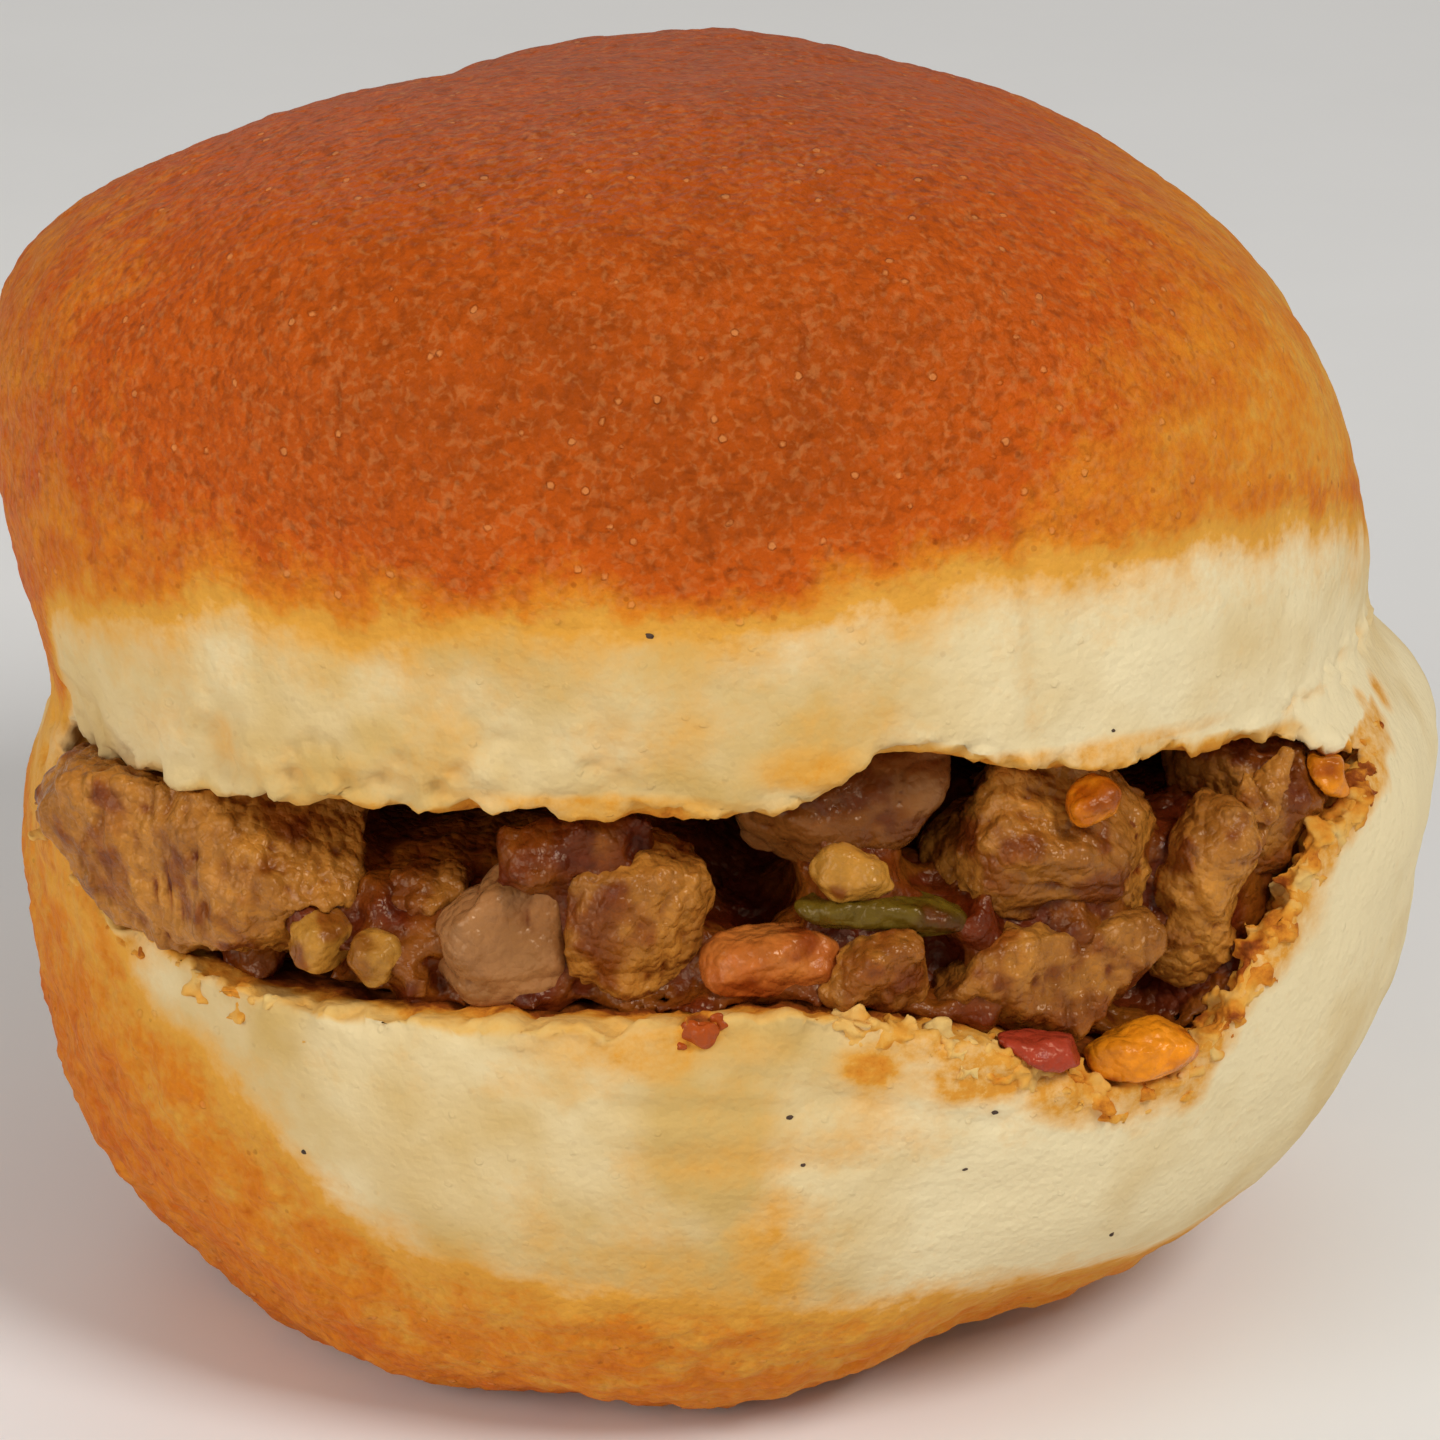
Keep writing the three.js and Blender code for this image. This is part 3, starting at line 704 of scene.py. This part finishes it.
def cut_mask(points, normals):
    """1 on the torn faces of the slit, 0 on the outside."""
    x, y, z = points.T
    inside = inside_rim(points)
    in_slit = (z > SLIT_FLOOR_Z) * (y < HINGE_Y + 1) * (x < SLIT_RIGHT_X)
    below_ceiling = smoothstep(1.4, 0.6, above_seam(points) + lip_drop(x))
    # Deep in the slit all is torn; close to the rim only what looks up or down is.
    deep = smoothstep(0.08, 0.16, inside)
    facing = smoothstep(0.3, 0.6, np.abs(normals[:, 2])) * smoothstep(-0.06, 0.0, inside)
    return np.maximum(deep, facing) * (in_slit * below_ceiling)


def crust_mask(points):
    """How brown the bread is: 0 on the pale side, 1 on the deepest crust."""
    x, _, z = points.T
    height = above_seam(points)
    ragged = 1.2 * layered_noise(points, 6, 3, 11) + 0.4 * noise(points, 1.2, 17)
    upper = look_up(UPPER_BROWNING, height - around(points, UPPER_BROWN) + ragged)
    lower = look_up(LOWER_BROWNING, around(points, LOWER_BROWN) - z + 1.2 * ragged)
    # The upper half is lighter towards both sides.
    lighter = 0.66 * smoothstep(4, 50, x) + 0.4 * smoothstep(20, 54, -x)
    upper *= 1 - lighter * smoothstep(0.4, 0.8, upper)
    upper += 0.1 * spot(points, *TOP_SPOT)
    streak = spot(points, *STREAK) * (0.75 + 0.5 * noise(points, 2.5, 5))
    lower = np.maximum(lower, 0.27 * streak)
    # The two halves' browning blends just below the seam.
    share = smoothstep(-7, -3, height)
    patchy = 1 + 0.8 * layered_noise(points, 5, 3, 37)
    golden = sum(strength * spot(points, *patch) for *patch, strength in GOLDEN_PATCHES)
    return np.maximum(lower * (1 - share) + upper * share, golden * patchy)


def cream_mask(points):
    """Where the pale side is whitest: the fold, both ends of the front and patches of the lower half."""
    x = points[:, 0]
    ends = 0.7 * smoothstep(0, 26, x) + 0.2 * smoothstep(-12, -36, x)
    middle = smoothstep(20, -5, np.abs(x - 2))
    lower = smoothstep(-6, -10, above_seam(points)) * (0.1 - 0.3 * middle)
    return 0.2 + ends * (1 - 0.3 * lower) + lower + 0.4 * layered_noise(points, 8, 4, 83)


def stain_and_shade_mask(points, cut, lip_distance):
    """How far sauce and oil soaked in: marks on the outside, the slit's inside and its lips, with one mark of
    painted shade in a dent.
    """
    x, y, z = points.T
    low = on_lower_half(points)
    patchy = layered_noise(points, 3.5, 3, 23)
    marks = np.zeros(len(points))
    # Marks of sauce, one of them painted shade in a dent.
    for *place, strength in SAUCE_AND_SHADE_MARKS:
        mark = 1.4 * spot(points, *place) * (1 + 0.6 * patchy)
        marks = np.maximum(marks, strength * np.minimum(1, mark))
    for *place, radius, strength in FOLD_MARKS:
        away = ((points - place) ** 2).sum(axis=1) / radius ** 2
        marks = np.maximum(marks, strength * np.minimum(1, 1.6 * np.exp(-away)))
    # The slit's floor is full of sauce, and its ceiling less so.
    full = np.where(low, 0.85, 0.4)
    soaked = cut * (0.12 + full * smoothstep(0.05, 0.24, inside_rim(points) + 0.05 * patchy))
    # A thin oily edge runs along the lips, and a wider band along the lower one's right and the slit's end.
    edge = 0.13 * smoothstep(1.8, 0, lip_distance) * smoothstep(-0.3, 0.5, patchy) * (y < -5)
    ledge = low * smoothstep(8, 14, x) + smoothstep(33, 38, x) * (z < 53)
    band = 0.3 * np.minimum(1, ledge) * smoothstep(4.5, 1.5, lip_distance + 1.2 * patchy) * (y < -12)
    return np.maximum.reduce([marks, soaked, edge * (above_seam(points) > -8), band])


def crease_depth(points):
    """How deep the creases are pressed in, in millimetres."""
    total = np.zeros(len(points))
    flat = points[:, [0, 2]]
    for first, last, wide, depth in CREASES:
        first, along = np.array(first), np.subtract(last, first)
        share = np.clip((flat - first) @ along / (along @ along), 0, 1)
        away = np.linalg.norm(flat - first - share[:, None] * along, axis=1)
        total += depth * np.exp(-(away / wide) ** 2) * (points[:, 1] < 0)
    return total


def relief_of_bread(points, normals, crust, cut, lip_distance, look):
    """The bread's points, lifted by blisters, lumps and pores, creased, and made ragged along the lips."""
    x, y, _ = points.T
    crusty = smoothstep(0.15, 0.5, crust) * (1 - cut)
    smooth_side = (1 - crusty) * (1 - cut)
    pores = smoothstep(0.42, 0.1, near_dots(points, 2.6, 47))
    # The outside undulates, with blisters on the crust and soft lumps on the pale side.
    lift = 0.3 * layered_noise(points, 14, 2, 3) * (1 - cut)
    blisters = 1 - near_dots(points, 1.8, 41) + 0.8 * noise(points, 1.3, 29) + 0.7 * noise(points, 3, 73)
    lift += look.blister_height * blisters * crusty
    lift += 0.12 * layered_noise(points, 4, 3, 31) * smooth_side
    # The upper lip is spongy at the left, and the browned underside flaky.
    spongy = smoothstep(10, 3, lip_distance) * smoothstep(0, -12, x) * (y < -10)
    spongy *= smooth_side * ~on_lower_half(points)
    lift += spongy * (0.4 * layered_noise(points, 2.2, 2, 89) - 0.6 * pores)
    flaky = smoothstep(0.18, 0.4, crust) * smoothstep(-8, -14, above_seam(points))
    lift += flaky * (0.26 * layered_noise(points, 2.2, 3, 97) + 0.2 * ridged_noise(points, 3.4, 101))
    lift -= crease_depth(points) * (1 - cut)
    lift += cut * (0.4 * layered_noise(points, 3, 3, 53) - 0.6 * pores)
    # The lips themselves are torn: rough, and swaying to all sides.
    near_lip = smoothstep(2.4, 0.2, lip_distance) * (y < 0)
    lift += 0.4 * near_lip * ridged_noise(points, 2.2, 59)
    sway = np.stack([layered_noise(points, 2.2, 3, seed) for seed in (61, 67, 71)], axis=1)
    moved = points + normals * lift[:, None] + sway * (look.lip_raggedness * near_lip)[:, None]
    moved[:, 2] = np.maximum(moved[:, 2], 0)
    return moved


class VETKOEK_OT_bread(Operator):
    """Makes the bread: an even fine surface over its solid, with blisters, torn lips and browning"""
    bl_idname = "vetkoek.bread"
    bl_label = "Make bread"

    def execute(self, context):
        look = context.scene.vetkoek_bread
        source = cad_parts["bread"].data
        piece = copy_node("bread", "fried_bread")
        voxel_remesh(piece, look.face_size)
        mesh = piece.data
        lip_distance = distance_to_sharp_edges(source, get_points(mesh), LIP_ANGLE)
        set_points(mesh, relaxed(mesh, 40, 0.12 + 0.88 * smoothstep(0.5, 4.5, lip_distance)))
        normals = get_normals(mesh)
        own = get_points(mesh) - BREAD_MIDDLE
        cut = cut_mask(own, normals)
        crust = crust_mask(own) * (1 - cut)
        set_points(mesh, relief_of_bread(own, normals, crust, cut, lip_distance, look) + BREAD_MIDDLE)
        for name, values in (
                ("crust", crust), ("cut", cut), ("cream", cream_mask(own)),
                ("stain", stain_and_shade_mask(own, cut, lip_distance)), ("lip", smoothstep(5.5, 0, lip_distance))):
            set_mask(mesh, name, values)
        finish_piece(piece, bread_material(look), "bread", "bread")
        return {"FINISHED"}


def place_on_front(bread, x, z):
    """The point of the bread's front that a straight look along Y meets at X and Z."""
    bpy.context.view_layer.update()
    start = Vector((x, -80, z)) + Vector(BREAD_MIDDLE)
    hit, place, _, _ = bread.ray_cast(start * MM, (0, 1, 0))
    if not hit:
        raise RuntimeError(f"no bread at {x}, {z}")
    return np.array(place) / MM


def crumb_places(bread, random, count):
    """Places along the torn lips, thickest on the low stained ledge and at the right end of the slit."""
    points = get_points(bread)
    own = points - BREAD_MIDDLE
    x, y, z = own.T
    torn = get_mask(bread, "cut") > 0.5
    close = smoothstep(0.45, 0.8, get_mask(bread, "lip"))
    low = on_lower_half(own)
    in_mouth = torn * (inside_rim(own) < 0.45)
    ledge = 2 * smoothstep(5, 10, x) * low * close
    right_end = smoothstep(32, 36, x) * (z < 52) * (close + 2 * in_mouth)
    torn_left = 0.3 * smoothstep(-28, -36, x) * low * close
    likely = (y < -12) * (torn_left + 0.03 * low * close + ledge + right_end)
    return points[random.choice(len(points), count, p=likely / likely.sum())]


class VETKOEK_OT_crumbs(Operator):
    """Makes the torn crumbs that cling to the lips of the slit, and the dark specks on the pale side"""
    bl_idname = "vetkoek.crumbs"
    bl_label = "Make crumbs"

    def execute(self, context):
        look = context.scene.vetkoek_bread
        bread = bpy.data.objects["fried_bread"]
        random = np.random.default_rng(12)
        shapes = []
        for place in crumb_places(bread.data, random, look.crumb_count):
            size = random.uniform(*CRUMB_SIZES) + LARGE_CRUMB * random.random() ** 3
            shape, faces = lump_mesh(random, size)
            shapes.append((shape * (1, 0.8, 0.8) + place + (0, 0.25 * size, -0.15 * size), faces))
        piece = joined_piece("torn_crumbs", shapes)
        voxel_remesh(piece, CRUMB_FACE)
        mesh = piece.data
        drop_scraps(mesh, LEAST_CRUMB)
        points = get_points(mesh)
        lift = 0.22 * layered_noise(points, 0.9, 2, 7) - 0.08
        set_points(mesh, points + get_normals(mesh) * lift[:, None])
        stain = stain_and_shade_mask(points - BREAD_MIDDLE, 1, np.zeros(len(points)))
        patchy = layered_noise(points, 2.5, 2, 9)
        golden = 0.22 + 0.16 * smoothstep(30, 38, points[:, 0])
        stain = golden * (1 + patchy) + 0.18 * stain * (1 + patchy)
        for name, values in (("crust", 0), ("cut", 1), ("cream", 0.3), ("stain", stain)):
            set_mask(mesh, name, values)
        finish_piece(piece, bread.data.materials[0], "bread")
        self.make_specks(bread, random)
        return {"FINISHED"}

    def make_specks(self, bread, random):
        shapes = []
        for x, z in SPECKS:
            shape, faces = lump_mesh(random, SPECK_SIZE, unevenness=0.3)
            shapes.append((shape * (1.3, 0.6, 1) + place_on_front(bread, x, z), faces))
        material, nodes, shader = new_material("Scorched dough")
        color = mottled(nodes, SCORCHED, SCORCHED_EDGE, 2500.0, 0.6)
        nodes.plug(shader, {"Base Color": color, "Roughness": 0.7})
        finish_piece(joined_piece("dark_specks", shapes), material, "bread")


# Filling

# Layers of relief on each food: their size and height in millimetres, and the noise that they are made of.
MINCE_RELIEF = [(2.4, 0.32, noise), (1.3, 0.2, noise), (0.7, 0.1, noise)]
MEAT_RELIEF = [
    (5.0, 0.5, noise), (2.4, 0.26, noise), (1.7, 0.07, ridged_noise), (1.1, 0.16, noise), (0.7, 0.1, noise),
]
STRAND_RELIEF = [(1.6, 0.2, noise), (0.8, 0.12, ridged_noise)]
ONION_RELIEF = [(6.0, 0.5, noise), (3.0, 0.3, ridged_noise), (1.2, 0.1, noise)]
VEGETABLE_RELIEF = [(2.4, 0.2, noise), (1.2, 0.12, noise), (0.6, 0.06, noise)]
SCRAP_RELIEF = [(0.8, 0.12, noise)]


def fibres(points, random, across=0.8, along=5.0):
    """Noise drawn out along a direction of its own, as the grain of meat."""
    turn = np.array(Euler(random.uniform(0, 2 * math.pi, 3)).to_matrix())
    return layered_noise(points @ turn * (across / along, 1, 1), across, 2, int(random.integers(1, 900)))


def roughen(piece, layers, fibre_height, seed, sauced):
    """Lifts the surface by layers of noise and by fibres, and masks where fibres and sauce lie."""
    mesh = piece.data
    random = np.random.default_rng(seed)
    points, normals = get_points(mesh), get_normals(mesh)
    strand = fibres(points, random)
    total = fibre_height * strand
    for index, (size, height, layer) in enumerate(layers):
        total += height * layer(points, size, seed + index)
    set_points(mesh, points + normals * total[:, None])
    set_mask(mesh, "fibre", 0.3 * smoothstep(0.1, -0.7, strand) * min(1, fibre_height / 0.2))
    # Sauce lies on part of the surface in patches, and gathers in every hollow.
    coated = 0.6 * smoothstep(0.5 - 1.2 * sauced, 1.2 - 1.2 * sauced, layered_noise(points, 3.2, 3, seed + 7))
    set_mask(mesh, "sauce", np.maximum(coated, 0.8 * smoothstep(0.03, 0.3, hollows(mesh, 25))))


def dress_node(node, piece_name, tone, sauced, face_size, rounds, layers, fibre_height, seed):
    """A finished copy of a solid: softened by rounds of relaxing, then given relief, sauce and tone."""
    piece = copy_node(node, piece_name)
    voxel_remesh(piece, face_size)
    mesh = piece.data
    set_points(mesh, relaxed(mesh, rounds) + REGROWTH * get_normals(mesh))
    roughen(piece, layers, fibre_height, seed, sauced)
    set_mask(mesh, "tone", tone + 0.45 * layered_noise(get_points(mesh), 5, 4, seed + 60))
    return piece


def front_spots(random, count):
    """Points on the front of the mince solid, each with the way it faces."""
    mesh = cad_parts["curry_mince"].data
    spots = [(polygon.center / MM, polygon.normal, polygon.area) for polygon in mesh.polygons
             if polygon.normal.y < -0.2 and polygon.normal.z < 0.6 and polygon.center.y < -20 * MM]
    weights = np.array([area for _, _, area in spots])
    chosen = random.choice(len(spots), count, p=weights / weights.sum())
    return [(np.array(spots[index][0]), np.array(spots[index][1])) for index in chosen]


def floor_spots(random, count):
    """Points on the bread at the front of the slit's floor, between the lower lip and the mass."""
    bread = bpy.data.objects["fried_bread"].data
    points = get_points(bread)
    own = points - BREAD_MIDDLE
    floor = (get_mask(bread, "cut") > 0.6) * (get_normals(bread)[:, 2] > 0.4) * on_lower_half(own)
    in_front = (np.abs(inside_rim(own) - 0.27) < 0.15) * (own[:, 1] < -20) * (own[:, 0] > -43)
    return points[random.choice(np.flatnonzero(floor * in_front), count)]


class VETKOEK_OT_mince(Operator):
    """Makes the mass of mince and sauce: its core and many small crumbs run together, round every chunk"""
    bl_idname = "vetkoek.mince"
    bl_label = "Make mince"

    def execute(self, context):
        look = context.scene.vetkoek_filling
        random = np.random.default_rng(4)
        shapes = []
        for place, facing in front_spots(random, look.grain_count):
            shape, faces = lump_mesh(random, random.uniform(*GRAIN_SIZES))
            shapes.append((shape + place - 0.2 * facing + random.normal(0, 0.4, 3), faces))
        for place in floor_spots(random, look.grain_count // 2):
            shape, faces = lump_mesh(random, random.uniform(*FLOOR_GRAIN_SIZES))
            shapes.append((shape + place + (0, 0.4, 0.3), faces))
        for node in ("curry_mince", *MEAT_TONES, *ONION_TONES, *SAUCED_VEGETABLES):
            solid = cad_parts[node].data
            shapes.append((get_points(solid), [list(polygon.vertices) for polygon in solid.polygons]))
        piece = joined_piece("mince_and_sauce", shapes)
        voxel_remesh(piece, look.face_size)
        self.run_together(piece, look)
        roughen(piece, MINCE_RELIEF, 0.1, 5, 0.25)
        set_mask(piece.data, "tone", 0.45 + 0.9 * layered_noise(get_points(piece.data), 3.5, 2, 77))
        material = filling_material(
            "Mince in sauce", look.mince_color, look.sauce_color, look, 420.0, 0.25, 0.4)
        finish_piece(piece, material, "curry", "curry_mince")
        return {"FINISHED"}

    def run_together(self, piece, look):
        """Fills the narrow nooks with sauce, and sinks the surface a little under the chunks."""
        mesh = piece.data
        set_points(mesh, relaxed(mesh, 1) + get_normals(mesh) * look.sauce_spread)
        voxel_remesh(piece, look.face_size)
        mesh = piece.data
        set_points(mesh, relaxed(mesh, 4))
        set_points(mesh, get_points(mesh) - get_normals(mesh) * (look.sauce_spread + look.sauce_sink))
        voxel_remesh(piece, look.face_size + MINCE_EXTRA_FACE)
        drop_scraps(piece.data, LEAST_MINCE)
        set_points(piece.data, relaxed(piece.data, 1))


def strand_mesh(first, last, thickness, random):
    """A bent, tapering strand of meat: its points and faces."""
    first, last = np.array(first), np.array(last)
    sides, rings = 8, 14
    bend = random.normal(0, 0.9, 3)
    points = []
    for ring in range(rings):
        share = ring / (rings - 1)
        centre = first + (last - first) * share + bend * math.sin(math.pi * share)
        swell = 0.35 + 0.65 * math.sin(math.pi * min(0.96, share + 0.04))
        radius = thickness / 2 * swell * random.uniform(0.8, 1.2)
        for side in range(sides):
            turn = 2 * math.pi * side / sides
            out = np.array([math.cos(turn), 0.7 * math.sin(turn), 0.3 * math.sin(turn)])
            points.append(centre + radius * out)
    faces = [[ring * sides + side, ring * sides + (side + 1) % sides,
              (ring + 1) * sides + (side + 1) % sides, (ring + 1) * sides + side]
             for ring in range(rings - 1) for side in range(sides)]
    faces += [list(range(sides))[::-1], list(range((rings - 1) * sides, rings * sides))]
    return np.array(points), faces


class VETKOEK_OT_meat(Operator):
    """Makes the large chunks and torn strands of meat, fibrous and coated with sauce"""
    bl_idname = "vetkoek.meat"
    bl_label = "Make meat"

    def execute(self, context):
        look = context.scene.vetkoek_filling
        material = filling_material(
            "Braised meat", look.meat_color, look.dark_meat_color, look, 330.0, 0.22, 0.5)
        for seed, (node, tones) in enumerate(MEAT_TONES.items()):
            piece = dress_node(
                node, "chunk_" + node, *tones, look.face_size, 2, MEAT_RELIEF, 0.25, 10 * seed + 3)
            finish_piece(piece, material, "meat", node)
        random = np.random.default_rng(31)
        strands = [strand_mesh(first, last, thick, random) for first, last, thick in STRANDS]
        piece = joined_piece("meat_strands", strands)
        set_points(piece.data, get_points(piece.data) + BREAD_MIDDLE)
        voxel_remesh(piece, STRAND_FACE)
        set_points(piece.data, relaxed(piece.data, 2))
        roughen(piece, STRAND_RELIEF, 0.12, 33, 0.35)
        set_mask(piece.data, "tone", 0.3)
        finish_piece(piece, material, "meat")
        return {"FINISHED"}


class VETKOEK_OT_onion(Operator):
    """Makes the soft translucent pieces of onion"""
    bl_idname = "vetkoek.onion"
    bl_label = "Make onion"

    def execute(self, context):
        look = context.scene.vetkoek_filling
        material = filling_material("Cooked onion", look.onion_color, look.dark_onion_color, look, 150.0, 0.2)
        for seed, (node, tones) in enumerate(ONION_TONES.items()):
            piece = dress_node(
                node, "soft_" + node, *tones, look.face_size, 6, ONION_RELIEF, 0.06, 10 * seed + 91)
            finish_piece(piece, material, "onion", node)
        return {"FINISHED"}


class VETKOEK_OT_vegetables(Operator):
    """Makes the diced carrot, potato, tomato and peppers"""
    bl_idname = "vetkoek.vegetables"
    bl_label = "Make vegetables"

    def execute(self, context):
        look = context.scene.vetkoek_filling
        materials = {}
        for slot in sorted({slot for slot, _ in VEGETABLES.values()}):
            flesh = getattr(look, slot + "_color")
            darker = TOMATO_SKIN if slot == "tomato" else shaded(flesh, 0.6)
            materials[slot] = filling_material(
                "Cooked " + slot.replace("_", " "), flesh, darker, look, 260.0, 0.2)
        for seed, (node, (slot, sauced)) in enumerate(VEGETABLES.items()):
            piece = dress_node(
                node, "cut_" + node, VEGETABLE_TONE, sauced, VEGETABLE_FACE, 3, VEGETABLE_RELIEF, 0.04,
                10 * seed + 151)
            finish_piece(piece, materials[slot], slot, node)
        self.make_scraps(materials["tomato"])
        return {"FINISHED"}

    def make_scraps(self, material):
        random = np.random.default_rng(21)
        bread = bpy.data.objects["fried_bread"]
        shapes = []
        for x, z, wide in TOMATO_SCRAPS:
            shape, faces = lump_mesh(random, wide, 4, 0.4)
            shapes.append((shape * (1, 0.45, 0.9) + place_on_front(bread, x, z), faces))
        piece = joined_piece("tomato_scraps", shapes)
        roughen(piece, SCRAP_RELIEF, 0.02, 17, 0.15)
        set_mask(piece.data, "tone", 0.95)
        finish_piece(piece, material, "tomato")


# Stage

def area_light(name, place, size, power, target):
    data = bpy.data.lights.new(name, "AREA")
    data.shape, data.size, data.energy = "DISK", size, power
    light = link(name, data)
    light.location = place
    light.rotation_euler = (Vector(target) - Vector(place)).to_track_quat("-Z", "Y").to_euler()


def floor_material(look):
    material, nodes, shader = new_material("Pale floor")
    color = mottled(nodes, look.floor_color, shaded(look.floor_color, 0.985), 20.0, 1.0)
    nodes.plug(shader, {"Base Color": color, "Roughness": 0.7, "Specular IOR Level": 0.2})
    return material


def soft_surround():
    world = bpy.data.worlds.new("Soft surround")
    world.use_nodes = True
    background = world.node_tree.nodes["Background"]
    NodeTree(world.node_tree).plug(background, {"Color": SURROUND_COLOR, "Strength": SURROUND_STRENGTH})
    return world


class VETKOEK_OT_stage(Operator):
    """Makes the floor, the soft lights and the camera"""
    bl_idname = "vetkoek.stage"
    bl_label = "Make stage"

    def execute(self, context):
        look = context.scene.vetkoek_stage
        target = Vector(BREAD_MIDDLE) * MM + Vector((0, 0, TARGET_HEIGHT))
        mesh = bpy.data.meshes.new("floor")
        corners = [(x * FLOOR_HALF, y * FLOOR_HALF, 0) for x, y in ((-1, -1), (1, -1), (1, 1), (-1, 1))]
        mesh.from_pydata(corners, [], [(0, 1, 2, 3)])
        floor = link("floor", mesh)
        floor.data.materials.append(floor_material(look))
        context.scene.world = soft_surround()
        for name, (place, width) in LIGHTS.items():
            area_light(name, place, width, getattr(look, name + "_power"), target)
        angle = look.camera_height
        back = Vector((0, -math.cos(angle), math.sin(angle)))
        data = bpy.data.cameras.new("camera")
        data.sensor_width, data.lens = SENSOR, LENS
        data.clip_start, data.clip_end = 0.01, 20
        camera = link("camera", data)
        camera.location = target + back * look.camera_distance
        camera.rotation_euler = (-back).to_track_quat("-Z", "Y").to_euler()
        context.scene.camera = camera
        context.scene.view_settings.view_transform = "Standard"
        return {"FINISHED"}


class VETKOEK_PT_panel(Panel):
    """Lists the pieces in the order in which they are made"""
    bl_idname = "VETKOEK_PT_panel"
    bl_label = "Vetkoek"
    bl_space_type = "VIEW_3D"
    bl_region_type = "UI"
    bl_category = "Vetkoek"

    def draw(self, context):
        for operator in OPERATORS:
            self.layout.operator(operator.bl_idname)
        for group in SETTINGS:
            settings = getattr(context.scene, group)
            box = self.layout.box()
            for name in settings.__annotations__:
                box.prop(settings, name)


SETTINGS = {"vetkoek_bread": VetkoekBread, "vetkoek_filling": VetkoekFilling, "vetkoek_stage": VetkoekStage}
OPERATORS = (VETKOEK_OT_stage, VETKOEK_OT_bread, VETKOEK_OT_crumbs, VETKOEK_OT_mince, VETKOEK_OT_meat,
             VETKOEK_OT_onion, VETKOEK_OT_vegetables)


def register():
    for group in SETTINGS.values():
        bpy.utils.register_class(group)
    for name, group in SETTINGS.items():
        setattr(bpy.types.Scene, name, PointerProperty(type=group))
    for kind in (*OPERATORS, VETKOEK_PT_panel):
        bpy.utils.register_class(kind)


def unregister():
    for kind in (VETKOEK_PT_panel, *reversed(OPERATORS)):
        bpy.utils.unregister_class(kind)
    for name in SETTINGS:
        delattr(bpy.types.Scene, name)
    for group in SETTINGS.values():
        bpy.utils.unregister_class(group)


def main():
    register()
    for operator in OPERATORS:
        _, name = operator.bl_idname.split(".")
        getattr(bpy.ops.vetkoek, name)()


if __name__ == "__main__":
    main()
